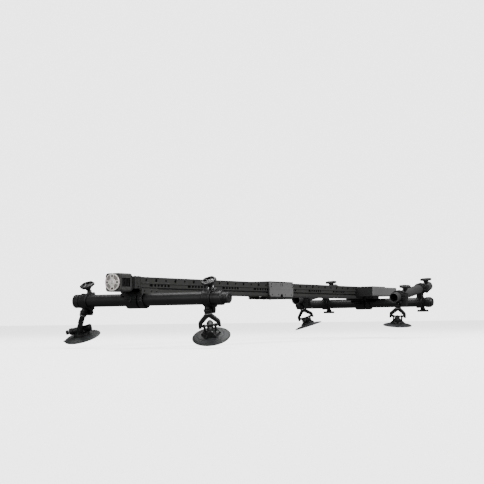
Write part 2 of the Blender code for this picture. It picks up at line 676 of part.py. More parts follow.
def build_leg(name, parent, tube_frame, lean, neck_angle, fork_turn, cup_tilt):
    """A leg on a tube. lean turns the clamp about the tube, fork_turn holds the fork's rotations about
    the tube frame's X and Y and then its swivel about itself, and cup_tilt turns the cup about its pin."""
    clamp_frame = tube_frame @ Matrix.Rotation(lean, 4, "Y")
    clamp_axis = make_empty(name + "_clamp_axis", parent, clamp_frame)
    leg_piece(f"clamp {neck_angle}", name + "_leg_clamp", clamp_axis, build_leg_clamp, neck_angle)

    screw_axis = make_empty(name + "_screw_axis", clamp_axis, Matrix.Translation((SCREW_OFFSET, 0, 0)))
    leg_piece("knob", name + "_clamp_knob", screw_axis, build_knob, KNOB_Z, SCREW_END)

    ball = Matrix.Rotation(lean + neck_angle, 4, "Y") @ Vector((0, 0, -BALL_REACH))
    splay, pitch, swivel = fork_turn
    fork_frame = tube_frame @ Matrix.Translation(ball) @ Matrix.Rotation(splay, 4, "X")
    fork_frame = fork_frame @ Matrix.Rotation(pitch, 4, "Y") @ Matrix.Rotation(swivel, 4, "Z")
    fork_axis = make_empty(name + "_fork_axis", clamp_axis, clamp_frame.inverted() @ fork_frame)
    leg_piece("fork", name + "_leg_fork", fork_axis, build_fork)

    pin_frame = Matrix.Translation((0, 0, PIN_Z)) @ Matrix.Rotation(cup_tilt, 4, "Y")
    if name == "front_far":
        pin_frame = pin_frame @ Matrix.Rotation(math.pi, 4, "Z")
    pin_axis = make_empty(name + "_pin_axis", fork_axis, pin_frame)
    leg_piece("pump", name + "_pump_body", pin_axis, build_pump)
    leg_piece("cup", name + "_suction_cup", pin_axis, build_cup)

    plunger_axis = make_empty(name + "_plunger_axis", pin_axis, Matrix.Translation((0, 0, PUMP_Z)))
    leg_piece("plunger", name + "_pump_plunger", plunger_axis, build_plunger)


def degrees(*angles):
    return tuple(math.radians(a) for a in angles)


def build_front_legs(frame):
    far = Matrix.Translation((FRONT_TUBE_X, 244 * MM, 0))
    near = Matrix.Translation((FRONT_TUBE_X, -342 * MM, 0))
    build_leg("front_far", frame, far, math.radians(-28), FRONT_NECK_ANGLE, degrees(23.6, -4, -52),
              math.radians(-30))
    build_leg("front_near", frame, near, math.radians(-33), FRONT_NECK_ANGLE, degrees(3.4, -18.5, 31),
              math.radians(-9.5))


# --- Outriggers --------------------------------------------------------------------------------------

def build_cross_clamp(name, parent):
    """Two crossed split rings: one round the rear cross tube, one above it round the outrigger."""
    clamp = clamp_ring(name)
    turn = Matrix.Rotation(-OUTRIGGER_TILT, 4, "Y") @ Matrix.Rotation(-math.pi / 2, 4, "Z")
    upper = clamp_ring("upper_ring")
    place(upper, (0, 0, OUTRIGGER_RISE), turn)
    bridge = box("bridge", (-16 * MM, 16 * MM), (-16 * MM, 16 * MM), (22 * MM, 52 * MM))
    join(clamp, bridge, upper)
    open_clamp(clamp, (-40 * MM, 34 * MM))
    tools = (
        rod("bore", BORE_R, (-CLAMP_HALF - 9 * MM, CLAMP_HALF + 9 * MM), "Y", segments=24),
        box("slit", (20 * MM, 60 * MM), (-CLAMP_HALF - MM, CLAMP_HALF + MM), (-1 * MM, 1 * MM)),
        place(rod("screw_hole", SCREW_R + GAP, (-40 * MM, 40 * MM), "Z", segments=10), (SCREW_OFFSET, 0, 0)),
    )
    for tool in tools:
        cut(clamp, place(tool, (0, 0, OUTRIGGER_RISE), turn))
    return finish(clamp, name, parent, "satin_black", smooth=True)


def build_outrigger(name, frame, lean, fork_turn, cup_tilt):
    """A tube along the rail on a cross clamp, with a suction-cup leg near its front end."""
    crossing = Matrix.Translation((REAR_TUBE_X, OUTRIGGER_Y[name], 0))
    hinge = make_empty("outrigger_" + name + "_hinge", frame, crossing)
    leg_piece("cross clamp", "cross_clamp_" + name, hinge, build_cross_clamp)

    bottom_screw = make_empty("bottom_screw_" + name, hinge, Matrix.Translation((SCREW_OFFSET, 0, 0)))
    leg_piece("bottom knob", "cross_bottom_knob_" + name, bottom_screw, build_knob,
              (-38 * MM, -52 * MM), 24 * MM)

    # The outrigger's own frame: the tube along X, tilted about the crossing's Y axis.
    tilt = Matrix.Translation((0, 0, OUTRIGGER_RISE)) @ Matrix.Rotation(-OUTRIGGER_TILT, 4, "Y")
    tube_frame = make_empty("outrigger_frame_" + name, hinge, tilt)
    tube = hollow_tube("outrigger_" + name, (OUTRIGGER_FRONT, OUTRIGGER_REAR), "X")
    finish(tube, "outrigger_" + name, tube_frame, "anodised_black", smooth=True)

    top_screw = make_empty("top_screw_" + name, tube_frame, Matrix.Translation((0, -SCREW_OFFSET, 0)))
    leg_piece("top knob", "cross_top_knob_" + name, top_screw, build_knob, (42 * MM, 56 * MM), -24 * MM)

    side = Vector((0, -1, 0))
    up = Vector((0, 0, 1))
    leg_frame = axes(Vector((OUTRIGGER_LEG, 0, 0)), side, up.cross(side), up)
    build_leg("rear_" + name, tube_frame, leg_frame, lean, REAR_NECK_ANGLE, fork_turn, cup_tilt)


def axes(location, x_axis, y_axis, z_axis):
    matrix = Matrix((x_axis, y_axis, z_axis)).transposed().to_4x4()
    matrix.translation = location
    return matrix


MATERIALS = {}


def main():
    clear_scene()
    for name in COLOURS:
        MATERIALS[name] = make_material(name)
    frame = make_empty("tube_level", matrix=Matrix.Translation((0, 0, -DECK_Z[1])))
    build_rail(frame)
    build_end_block("drive_end_block", frame, RAIL_X[0] - GAP, -1)
    build_end_block("idler_end_block", frame, RAIL_X[1] + GAP, 1)
    build_pulley("drive_pulley", frame, DRIVE_PULLEY_X)
    build_pulley("idler_pulley", frame, IDLER_PULLEY_X)
    build_belt(frame)
    build_motor(frame)
    build_control_box(frame)
    build_cross_tubes(frame)
    build_bracket("front_bracket", frame, FRONT_TUBE_X, 1, 44 * MM)
    build_bracket("rear_bracket", frame, REAR_TUBE_X, -1, BOX_Z[0] - GAP)
    build_carriage(frame)
    build_front_legs(frame)
    build_outrigger("near", frame, math.radians(4.5), degrees(11.2, 11.4, -67.6), math.radians(-14))
    build_outrigger("far", frame, 0.0, degrees(11.2, -11.4, -67.6), math.radians(-14))
    bpy.context.view_layer.update()


main()
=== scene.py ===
"""The camera slider's looks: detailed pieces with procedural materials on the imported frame.

Pieces are made of slabs (outlines pushed along an axis, with rounded rims) and lathed solids, in
millimetres, in frames that come from the cross tubes' level or from a joint. +X runs along the rail and
+Z is up. The lights, the camera and the floor are in metres.
"""

import itertools
import json
import math

import bmesh
import bpy
from mathutils import Matrix, Vector
from mathutils.geometry import delaunay_2d_cdt


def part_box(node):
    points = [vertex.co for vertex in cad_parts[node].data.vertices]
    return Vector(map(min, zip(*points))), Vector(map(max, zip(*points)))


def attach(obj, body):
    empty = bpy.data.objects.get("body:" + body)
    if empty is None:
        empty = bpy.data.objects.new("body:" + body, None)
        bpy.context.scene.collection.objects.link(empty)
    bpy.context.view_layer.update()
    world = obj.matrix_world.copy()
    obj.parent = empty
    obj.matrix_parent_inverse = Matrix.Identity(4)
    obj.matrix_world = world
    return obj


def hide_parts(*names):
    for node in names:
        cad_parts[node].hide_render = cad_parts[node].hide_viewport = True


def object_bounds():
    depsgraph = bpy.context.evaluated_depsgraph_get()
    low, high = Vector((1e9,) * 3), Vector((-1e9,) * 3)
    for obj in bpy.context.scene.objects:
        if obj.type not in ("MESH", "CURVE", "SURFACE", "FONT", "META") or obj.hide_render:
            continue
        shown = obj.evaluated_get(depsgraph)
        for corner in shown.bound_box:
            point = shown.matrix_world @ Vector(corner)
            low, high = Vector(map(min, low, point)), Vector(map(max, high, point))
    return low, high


MM = 0.001
TAU = math.tau

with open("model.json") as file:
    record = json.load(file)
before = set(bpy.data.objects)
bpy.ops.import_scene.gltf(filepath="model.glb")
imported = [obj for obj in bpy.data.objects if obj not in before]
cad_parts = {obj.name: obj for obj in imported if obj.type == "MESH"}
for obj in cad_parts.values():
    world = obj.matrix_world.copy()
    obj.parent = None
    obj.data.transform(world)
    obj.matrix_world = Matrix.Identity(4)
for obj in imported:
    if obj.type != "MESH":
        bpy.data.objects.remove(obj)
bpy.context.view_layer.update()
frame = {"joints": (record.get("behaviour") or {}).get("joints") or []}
JOINTS = {joint["name"]: joint for joint in frame["joints"]}


def joint_point(name):
    return Vector(JOINTS[name]["pos_m"]) / MM


def joint_axis(name):
    return Vector(JOINTS[name]["axis"]).normalized()


def box(node):
    """A CAD node's lowest and highest corner, in millimetres."""
    low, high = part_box(node)
    return low / MM, high / MM


LEVEL = joint_point("outrigger_near_tilt").z
REAR_TUBE_X = joint_point("outrigger_near_tilt").x
FRONT_TUBE_X = joint_point("front_far_clamp_turn").x

BOTH = (-1, 1)
CORNERS = [(sx, sy) for sx in BOTH for sy in BOTH]
shift = Matrix.Translation

# The whole scene's key sizes, heights from the cross tubes' axis
TUBE_R = 25
RAIL_HALF_WIDTH = 50
RAIL_BOTTOM = 25.5
RAIL_TOP = 90
MOTOR_Z = 66.5
DECK_Z = (91, 96)
BALL_R = 12
PIN_TO_CUP = 37
CUP_R = 75
SCREW_OFFSET = 38
BALL_DROP = 41
PUMP_DROP = 14


# --- Outlines ---

STRAIGHT = 3.05  # the opening, in radians, from which a corner is left alone
SHARP_BEND = 0.6

def circle(radius, segments, centre=(0, 0), start=0.0, sweep=TAU):
    """Points on an arc, without the closing point when the arc is a full turn."""
    steps = segments if abs(sweep) >= TAU else segments - 1
    angles = [start + sweep * i / steps for i in range(segments)]
    return [(centre[0] + radius * math.cos(a), centre[1] + radius * math.sin(a)) for a in angles]


def rectangle(u0, u1, v0, v1):
    return [(u0, v0), (u1, v0), (u1, v1), (u0, v1)]


def slot_outline(centre, length, width, upright=False):
    """A slot with round ends."""
    reach = (length - width) / 2
    start = 0 if upright else -math.pi / 2
    offset = (0, reach) if upright else (reach, 0)
    first = circle(width / 2, 7, (centre[0] + offset[0], centre[1] + offset[1]), start, math.pi)
    second = circle(width / 2, 7, (centre[0] - offset[0], centre[1] - offset[1]), start + math.pi, math.pi)
    return first + second


def rounded(points, radius, steps=5):
    """Each corner of a closed outline as an arc; radius is one number, or one for each corner."""
    radii = radius if isinstance(radius, (list, tuple)) else [radius] * len(points)
    result = []
    for i, (point, r) in enumerate(zip(points, radii)):
        corner = Vector(point)
        back = Vector(points[i - 1]) - corner
        ahead = Vector(points[(i + 1) % len(points)]) - corner
        opening = back.angle(ahead)
        if r <= 0 or opening > STRAIGHT:
            result.append(tuple(corner))
            continue
        reach = min(r / math.tan(opening / 2), 0.49 * back.length, 0.49 * ahead.length)
        r = reach * math.tan(opening / 2)
        middle = (back.normalized() + ahead.normalized()).normalized()
        centre = corner + middle * (r / math.sin(opening / 2))
        start = corner + back.normalized() * reach - centre
        end = corner + ahead.normalized() * reach - centre
        first = math.atan2(start.y, start.x)
        turn = (math.atan2(end.y, end.x) - first + math.pi) % TAU - math.pi
        result += circle(r, steps + 1, tuple(centre), first, turn)
    return result


def soften(points, radius):
    """Round only the sharp corners of a closed outline."""
    radii = []
    for i, point in enumerate(points):
        before = Vector(point) - Vector(points[i - 1])
        after = Vector(points[(i + 1) % len(points)]) - Vector(point)
        radii.append(radius if before.angle(after, 0) > SHARP_BEND else 0)
    return rounded(points, radii, 3)


def area(points):
    ends = points[1:] + points[:1]
    return sum(a[0] * b[1] - b[0] * a[1] for a, b in zip(points, ends)) / 2


def inset(points, distance):
    """Move each point of a closed outline towards its left-hand side."""
    result = []
    for i, point in enumerate(points):
        here = Vector(point)
        before = (here - Vector(points[i - 1])).normalized()
        after = (Vector(points[(i + 1) % len(points)]) - here).normalized()
        inwards = Vector((-before.y - after.y, before.x + after.x))
        result.append(tuple(here + inwards * (distance / max(0.4, 1 + before.dot(after)))))
    return result


def star(radius, lobes, depth, points_per_lobe=12):
    """A grip's outline: one wave round a circle for each lobe."""
    total = points_per_lobe * lobes
    outline = []
    for i in range(total):
        angle = TAU * i / total
        reach = radius * (1 - depth / 2 + depth / 2 * math.cos(lobes * angle))
        outline.append((reach * math.cos(angle), reach * math.sin(angle)))
    return outline


# --- Pieces ---

PLACE = {
    "X": lambda p, t: (t, p[0], p[1]),
    "Y": lambda p, t: (p[0], t, p[1]),
    "Z": lambda p, t: (p[0], p[1], t),
}
RIM_STEPS = 3
HOLE_RIM = 0.6
# Edges past this bend get a lighter colour: worn paint on most materials, and on the plugs partly a painted
# highlight along the rims.
EDGE_WEAR_AND_HIGHLIGHT_FROM = 0.3  # the bend, in radians, from which an edge is worn
EDGE_WEAR_AND_HIGHLIGHT_SPREAD = 0.2
SHARP_FROM = math.radians(40)


def holds(loop, x, y):
    """Whether a closed outline holds a point."""
    crossings = 0
    for (x0, y0), (x1, y1) in zip(loop, loop[1:] + loop[:1]):
        if (y0 > y) != (y1 > y) and x < x0 + (y - y0) * (x1 - x0) / (y1 - y0):
            crossings += 1
    return crossings % 2 == 1


def fill_cap(solid, cap):
    """Close a slab's end, given as (points, vertices) for its outline and then for each hole."""
    if len(cap) == 1:
        solid.faces.new(cap[0][1])
        return
    points, vertices, edges = [], [], []
    for loop, ring in cap:
        first = len(points)
        points += [Vector(p) for p in loop]
        vertices += ring
        edges += [(first + i, first + (i + 1) % len(loop)) for i in range(len(loop))]
    inside_constraints = 1
    result = delaunay_2d_cdt(points, edges, [], inside_constraints, 1e-4)
    origins = [vertices[origin[0]] for origin in result[3]]
    for triangle in result[2]:
        x, y = sum((result[0][i] for i in triangle), Vector((0, 0))) / 3
        if not any(holds(loop, x, y) for loop, _ in cap[1:]):
            solid.faces.new([origins[i] for i in triangle])


class Piece:
    """One mesh of closed solids, each with its own named material, in the piece's own frame."""

    def __init__(self, name, place=None):
        self.name = name
        self.place = place or shift((0, 0, LEVEL))
        self.mesh = bmesh.new()
        self.mesh.verts.layers.float.new("edge_wear_and_highlight_mask")
        self.materials = []

    def add(self, solid, material, turn=None):
        """Take in a solid: face it outwards, note its convex edges for wear and, on the plugs, for a painted
        highlight, and give it a material.
        """
        if material not in self.materials:
            self.materials.append(material)
        index = self.materials.index(material)
        bmesh.ops.recalc_face_normals(solid, faces=solid.faces)
        edge_wear_and_highlight_mask = solid.verts.layers.float.new("edge_wear_and_highlight_mask")
        for vertex in solid.verts:
            bend = max((edge.calc_face_angle_signed(0) for edge in vertex.link_edges), default=0)
            vertex[edge_wear_and_highlight_mask] = min(1, max(0, (bend - EDGE_WEAR_AND_HIGHLIGHT_FROM) / EDGE_WEAR_AND_HIGHLIGHT_SPREAD))
        for face in solid.faces:
            face.material_index = index
            face.smooth = True
        if turn is not None:
            bmesh.ops.transform(solid, matrix=turn, verts=solid.verts)
        mesh = bpy.data.meshes.new("solid")
        solid.to_mesh(mesh)
        solid.free()
        self.mesh.from_mesh(mesh)
        bpy.data.meshes.remove(mesh)

    def slab(self, material, outline, axis, span, rim=0.8, holes=(), turn=None):
        """Push an outline along an axis, with rounded rims; holes are outlines inside it."""
        solid = bmesh.new()
        low, high = sorted(span)
        rim = min(rim, 0.45 * (high - low))
        loops = [outline if area(outline) > 0 else outline[::-1]]
        loops += [hole[::-1] if area(hole) > 0 else hole for hole in holes]
        caps = [[], []]
        for number, loop in enumerate(loops):
            edge = rim if number == 0 else min(rim, HOLE_RIM)
            if edge > 0:
                loop = soften(loop, 1.2 * edge)
            turns = [math.pi / 2 * k / RIM_STEPS for k in range(RIM_STEPS + 1)] if edge > 0 else [math.pi / 2]
            levels = [(edge * (1 - math.sin(a)), low + edge * (1 - math.cos(a))) for a in turns]
            levels += [(depth, low + high - height) for depth, height in reversed(levels)]
            rings = []
            for depth, height in levels:
                points = inset(loop, depth) if depth > 0 else loop
                rings.append([solid.verts.new(PLACE[axis](p, height)) for p in points])
            for lower, upper in zip(rings, rings[1:]):
                for i in range(len(loop)):
                    j = (i + 1) % len(loop)
                    solid.faces.new((lower[i], lower[j], upper[j], upper[i]))
            ends = inset(loop, edge)
            caps[0].append((ends, rings[0]))
            caps[1].append((ends, rings[-1]))
        for cap in caps:
            fill_cap(solid, cap)
        self.add(solid, material, turn)

    def box(self, material, x_span, y_span, z_span, rim=0.8):
        self.slab(material, rounded(rectangle(*x_span, *y_span), 0.8, 3), "Z", z_span, rim)

    def lathe(self, material, profile, axis="Z", segments=40, rim=0.8, turn=None):
        """Turn a closed profile of (radius, height) about an axis; its corners are rounded by rim."""
        radii = [rim if r > 0 else 0 for r, _ in profile]
        profile = rounded(profile, radii, RIM_STEPS) if rim > 0 else profile
        place = {
            "X": lambda r, a, h: (h, r * math.cos(a), r * math.sin(a)),
            "Y": lambda r, a, h: (r * math.sin(a), h, r * math.cos(a)),
            "Z": lambda r, a, h: (r * math.cos(a), r * math.sin(a), h),
        }[axis]
        solid = bmesh.new()
        rings = []
        for radius, height in profile:
            count = 1 if radius < 1e-4 else segments
            rings.append([solid.verts.new(place(radius, TAU * i / segments, height)) for i in range(count)])
        for k, upper in enumerate(rings):
            lower = rings[(k + 1) % len(rings)]
            if len(upper) == 1 and len(lower) == 1:
                continue
            for i in range(segments):
                j = (i + 1) % segments
                around = ((upper, i), (upper, j), (lower, j), (lower, i))
                solid.faces.new(dict.fromkeys(ring[spot % len(ring)] for ring, spot in around))
        self.add(solid, material, turn)

    def rod(self, material, radius, span, axis="Z", segments=24, rim=0.6, turn=None):
        low, high = sorted(span)
        profile = [(0, low), (radius, low), (radius, high), (0, high)]
        self.lathe(material, profile, axis, segments, rim, turn)

    def screw(self, point, outwards, radius=3, height=1.6):
        """A socket-head screw whose head stands on a face."""
        tilt = Vector((0, 0, 1)).rotation_difference(Vector(outwards))
        turn = shift(point) @ tilt.to_matrix().to_4x4()
        socket = circle(radius * 0.48, 6)
        metal, head = "screw", circle(radius, 16)
        self.slab(metal, head, "Z", (0.35 * height, height), 0.35, [socket], turn)
        self.slab(metal, head, "Z", (-0.5, 0.4 * height), 0, turn=turn)

    def screws(self, xs, ys, zs, outwards, radius=3, height=1.6):
        """A screw at each point of a grid."""
        for point in itertools.product(xs, ys, zs):
            self.screw(point, outwards, radius, height)

    def finish(self, body, node):
        """Make the object, which rides on a body and stands for a CAD node."""
        mesh = bpy.data.meshes.new(self.name)
        bmesh.ops.scale(self.mesh, vec=(MM, MM, MM), verts=self.mesh.verts)
        self.mesh.to_mesh(mesh)
        self.mesh.free()
        mesh.set_sharp_from_angle(angle=SHARP_FROM)
        for material in self.materials:
            mesh.materials.append(MATERIAL[material])
        piece = add_object(self.name, mesh)
        place = self.place.copy()
        place.translation *= MM
        piece.matrix_world = place
        smoothing = piece.modifiers.new("even_shading", "WEIGHTED_NORMAL")
        smoothing.keep_sharp = True
        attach(piece, body)
        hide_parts(node)


def add_object(name, data):
    made = bpy.data.objects.new(name, data)
    bpy.context.scene.collection.objects.link(made)
    return made


def axes(origin, x_axis, y_axis, z_axis):
    matrix = Matrix((x_axis, y_axis, z_axis)).transposed().to_4x4()
    matrix.translation = origin
    return matrix


def frame_on(origin, y_axis, z_axis):
    """A frame at origin with these Y and Z axes."""
    z_axis = z_axis.normalized()
    x_axis = y_axis.cross(z_axis).normalized()
    return axes(origin, x_axis, z_axis.cross(x_axis), z_axis)


# --- Materials ---

ROUGH_SPREAD = 0.08
GRAIN_HEIGHT = 0.0006  # in metres


def connect(tree, node, socket, target, target_socket):
    tree.links.new(node.outputs[socket], target.inputs[target_socket])


def set_inputs(node, values):
    for key, value in values.items():
        node.inputs[key].default_value = value


def triple(value):
    """One number for three channels or axes, or three numbers as they are."""
    return value if isinstance(value, tuple) else (value,) * 3


def make_material(name, colour, roughness, metallic=0.0, tone=0.12, patch=18, grain=900,
                  grain_depth=0.15, edge_wear_and_highlight=None, edge_wear_and_highlight_amount=0.5, scratch=0.0, coat=0.0, specular=0.5):
    """A surface with large soft patches of tone, a fine grain in its relief, scratches and lighter edges,
    which are wear and on the plugs partly a painted highlight.
    """
    colour = triple(colour)
    material = bpy.data.materials.new(name)
    material.use_nodes = True
    tree = material.node_tree
    shader = tree.nodes["Principled BSDF"]
    set_inputs(shader, {"Metallic": metallic, "Coat Weight": coat, "Coat Roughness": 0.25,
                        "Specular IOR Level": specular})
    place = tree.nodes.new("ShaderNodeTexCoord")

    def noise(values, stretch=None):
        """A noise in the piece's own space, or in that space stretched and turned."""
        node = tree.nodes.new("ShaderNodeTexNoise")
        set_inputs(node, values)
        if stretch is None:
            connect(tree, place, "Object", node, "Vector")
            return node
        space = tree.nodes.new("ShaderNodeMapping")
        set_inputs(space, stretch)
        connect(tree, place, "Object", space, "Vector")
        connect(tree, space, "Vector", node, "Vector")
        return node

    patches = noise({"Scale": patch, "Detail": 6, "Roughness": 0.62})
    fine = noise({"Scale": 1, "Detail": 3}, {"Scale": triple(grain)})
    shade = tree.nodes.new("ShaderNodeValToRGB")
    for stop, position, factor in zip(shade.color_ramp.elements, (0.3, 0.7), (1 - tone, 1 + tone)):
        stop.position = position
        stop.color = (*(min(1, c * factor) for c in colour), 1)
    connect(tree, patches, "Fac", shade, "Fac")
    last = shade, "Color"

    def mix_in(mask, mask_socket, other):
        nonlocal last
        mix = tree.nodes.new("ShaderNodeMix")
        mix.data_type = "RGBA"
        connect(tree, mask, mask_socket, mix, 0)
        connect(tree, *last, mix, 6)
        mix.inputs[7].default_value = (*other, 1)
        last = mix, 2

    def ranged(source, socket, low, high, to_low, to_high):
        node = tree.nodes.new("ShaderNodeMapRange")
        connect(tree, source, socket, node, "Value")
        set_inputs(node, {"From Min": low, "From Max": high, "To Min": to_low, "To Max": to_high})
        return node

    if scratch > 0:
        marks = noise({"Scale": 1, "Detail": 2}, {"Scale": (22, 340, 340), "Rotation": (0.2, 0.3, 0.15)})
        mask = ranged(marks, "Fac", 0.68, 0.76, 0, scratch)
        mix_in(mask, "Result", [min(1, c * 2.2 + 0.03) for c in colour])

    # Lighter convex edges: worn paint, and on the plugs partly a painted highlight along the rims.
    if edge_wear_and_highlight is not None:
        edge = tree.nodes.new("ShaderNodeAttribute")
        edge.attribute_name = "edge_wear_and_highlight_mask"
        rubbed = noise({"Scale": 130, "Detail": 5})
        spots = ranged(rubbed, "Fac", 0.42, 0.62, 0.15, 1)
        amount = tree.nodes.new("ShaderNodeMath")
        amount.operation = "MULTIPLY"
        connect(tree, edge, "Fac", amount, 0)
        connect(tree, spots, "Result", amount, 1)
        scaled = ranged(amount, "Value", 0, 1, 0, edge_wear_and_highlight_amount)
        mix_in(scaled, "Result", triple(edge_wear_and_highlight))

    connect(tree, *last, shader, "Base Color")
    rough = ranged(patches, "Fac", 0.3, 0.7, roughness - ROUGH_SPREAD, roughness + ROUGH_SPREAD)
    connect(tree, rough, "Result", shader, "Roughness")
    bump = tree.nodes.new("ShaderNodeBump")
    set_inputs(bump, {"Strength": grain_depth, "Distance": GRAIN_HEIGHT})
    connect(tree, fine, "Fac", bump, "Height")
    connect(tree, bump, "Normal", shader, "Normal")
    return material


FINISHES = {
    "anodised_black": dict(colour=(0.016, 0.016, 0.0165), roughness=0.42, metallic=0.2,
        grain=(14, 900, 900), grain_depth=0.1, patch=7, edge_wear_and_highlight=0.08, edge_wear_and_highlight_amount=0.3, scratch=0.12,
        specular=0.35),
    "tube_grey": dict(colour=(0.06, 0.06, 0.0605), roughness=0.4, metallic=0.3, grain=(14, 900, 900),
        grain_depth=0.1, patch=7, edge_wear_and_highlight=0.2, edge_wear_and_highlight_amount=0.4, scratch=0.12, specular=0.4),
    "rail_black": dict(colour=(0.038, 0.038, 0.037), roughness=0.45, metallic=0.2, grain=(10, 1100, 1100),
        grain_depth=0.12, patch=6, edge_wear_and_highlight=(0.11, 0.11, 0.105), edge_wear_and_highlight_amount=0.35, scratch=0.12, specular=0.35),
    # Painted shade: a near-black with almost no shine, put in hole bottoms, recesses, vents and behind
    # openings where shade falls; the circuit board's chips use it as their own black.
    "painted_shade_and_chip_black": dict(colour=0.002, roughness=0.8, grain_depth=0.1, specular=0.05),
    "satin_black": dict(colour=(0.009, 0.009, 0.0093), roughness=0.44, grain=700, grain_depth=0.2,
        edge_wear_and_highlight=0.05, edge_wear_and_highlight_amount=0.25, scratch=0.08, specular=0.3),
    "knob_black": dict(colour=(0.006, 0.006, 0.0063), roughness=0.33, grain=1200, grain_depth=0.12,
        edge_wear_and_highlight=0.1, edge_wear_and_highlight_amount=0.5, specular=0.5),
    # Partly painted highlight: the plugs' lighter edges are wear and also stand in for bright highlights on
    # their rims.
    "plug_black": dict(colour=(0.01, 0.01, 0.0103), roughness=0.4, grain=1000, grain_depth=0.16, edge_wear_and_highlight=0.16,
        edge_wear_and_highlight_amount=0.6, specular=0.4),
    "plate_grey": dict(colour=(0.165, 0.165, 0.1655), roughness=0.45, metallic=0.3, grain=(25, 1300, 1300),
        grain_depth=0.12, patch=8, tone=0.08, edge_wear_and_highlight=(0.3, 0.3, 0.295), edge_wear_and_highlight_amount=0.4, scratch=0.1,
        specular=0.4),
    "silver": dict(colour=(0.86, 0.815, 0.775), roughness=0.34, metallic=0.35, grain=(1500, 500, 500),
        grain_depth=0.15, tone=0.05, edge_wear_and_highlight=(0.93, 0.92, 0.9), edge_wear_and_highlight_amount=0.5, scratch=0.1),
    # Partly painted shade: on the floor of the motor face's pockets this darker grey stands in for the shade
    # in them; on the outrigger tubes' end caps it is the caps' own grey.
    "cap_grey_and_painted_shade": dict(colour=(0.26, 0.24, 0.23), roughness=0.5, metallic=0.2, grain_depth=0.25, tone=0.1),
    "steel": dict(colour=0.42, roughness=0.32, metallic=0.9, grain=1100, grain_depth=0.1, edge_wear_and_highlight=0.6,
        edge_wear_and_highlight_amount=0.5, scratch=0.15),
    "screw": dict(colour=0.02, roughness=0.34, metallic=0.5, grain=1500, grain_depth=0.1, edge_wear_and_highlight=0.14,
        edge_wear_and_highlight_amount=0.4),
    "rubber": dict(colour=(0.024, 0.0252, 0.0265), roughness=0.55, grain=480, grain_depth=0.22, tone=0.16,
        patch=22, edge_wear_and_highlight=0.035, edge_wear_and_highlight_amount=0.3, specular=0.3),
    "belt_black": dict(colour=0.014, roughness=0.72, grain=(2400, 300, 300), grain_depth=0.3),
    "board_green": dict(colour=(0.015, 0.11, 0.045), roughness=0.4, grain=500, grain_depth=0.1, coat=0.4),
}
MATERIAL = {name: make_material(name, **finish) for name, finish in FINISHES.items()}


# --- Rail ---

RAIL_X = (box("rail")[0].x, box("rail")[1].x)
FIRST_HOLE = 36
HOLE_PITCH = 70
GROUP_PITCH = 280
GROUP_LENGTH = 140
UPPER_BAND = (67.6, 86.2)
LOWER_BAND = (50.8, 62.4)
SLOT_WIDTH = 9.4


def inner(span):
    return span[0] + 1, span[1] - 1


def build_rail():
    rail = Piece("slider_rail")
    paint, dark = "rail_black", "painted_shade_and_chip_black"
    half, core = RAIL_HALF_WIDTH, 44.5
    right = [
        (half - 2.5, RAIL_BOTTOM), (half, RAIL_BOTTOM + 2.5), (half, 39), (half - 1, 40), (half - 9, 40),
        (half - 9, 47), (half - 1, 47), (half, 48), (half, LOWER_BAND[0]), (core, LOWER_BAND[0]),
        (core, LOWER_BAND[1]), (half + 0.6, LOWER_BAND[1]), (half + 1.4, LOWER_BAND[1] + 1),
        (half + 1.4, UPPER_BAND[0] - 1), (half + 0.6, UPPER_BAND[0]), (core, UPPER_BAND[0]),
        (core, UPPER_BAND[1]), (half, UPPER_BAND[1]), (half, RAIL_TOP - 1.2), (half - 1.2, RAIL_TOP),
        (43, RAIL_TOP), (43, RAIL_TOP - 2), (39, RAIL_TOP - 2), (39, RAIL_TOP), (32, RAIL_TOP), (32, 72),
    ]
    outline = right + [(-y, z) for y, z in reversed(right)]
    tunnel = rounded(rectangle(-40, 40, 29, 68), 3)
    rail.slab(paint, outline, "X", RAIL_X, 0.5, [tunnel])

    first = RAIL_X[0] + FIRST_HOLE
    holes_across = int((RAIL_X[1] - first - 20) / HOLE_PITCH) + 1
    upper_holes, lower_holes = [], []
    for k in range(holes_across):
        x = first + k * HOLE_PITCH
        size = (17, 12) if k % 2 else (12, 9)
        upper_holes.append(slot_outline((x, sum(UPPER_BAND) / 2), *size))
    z = sum(LOWER_BAND) / 2
    groups = int((RAIL_X[1] - first) / GROUP_PITCH) + 1
    for k in range(groups):
        start = first + FIRST_HOLE + k * GROUP_PITCH
        if start + GROUP_LENGTH > RAIL_X[1]:
            continue
        lower_holes.append(slot_outline((start, z), 24, SLOT_WIDTH))
        for n in range(5):
            lower_holes.append(slot_outline((start + 28 + 24 * n, z), 16, SLOT_WIDTH))
    ends = (RAIL_X[0] + 0.4, RAIL_X[1] - 0.4)
    for side in BOTH:
        skin = (side * 47.4, side * 49.4)
        low_skin = (side * 46, side * 48)
        rail.slab(paint, rectangle(*ends, *UPPER_BAND), "Y", skin, 0.6, upper_holes)
        rail.slab(paint, rectangle(*ends, *LOWER_BAND), "Y", low_skin, 0.3, lower_holes)
        # Painted shade: near-black strips behind the slots stand in for the shade at the hole bottoms.
        rail.slab(dark, rectangle(*ends, *inner(UPPER_BAND)), "Y", (side * 44.6, side * 47.2), 0)
        rail.slab(dark, rectangle(*ends, *inner(LOWER_BAND)), "Y", (side * 44.6, side * 45.8), 0)
        for k in range(9):
            x = RAIL_X[0] + 50 + k * GROUP_PITCH
            rail.screw((x, side * 46.4, RAIL_TOP - 0.2), (0, 0, 1), 1.9, 1)
    rail.finish("frame", "rail")


# --- Ends of the rail ---

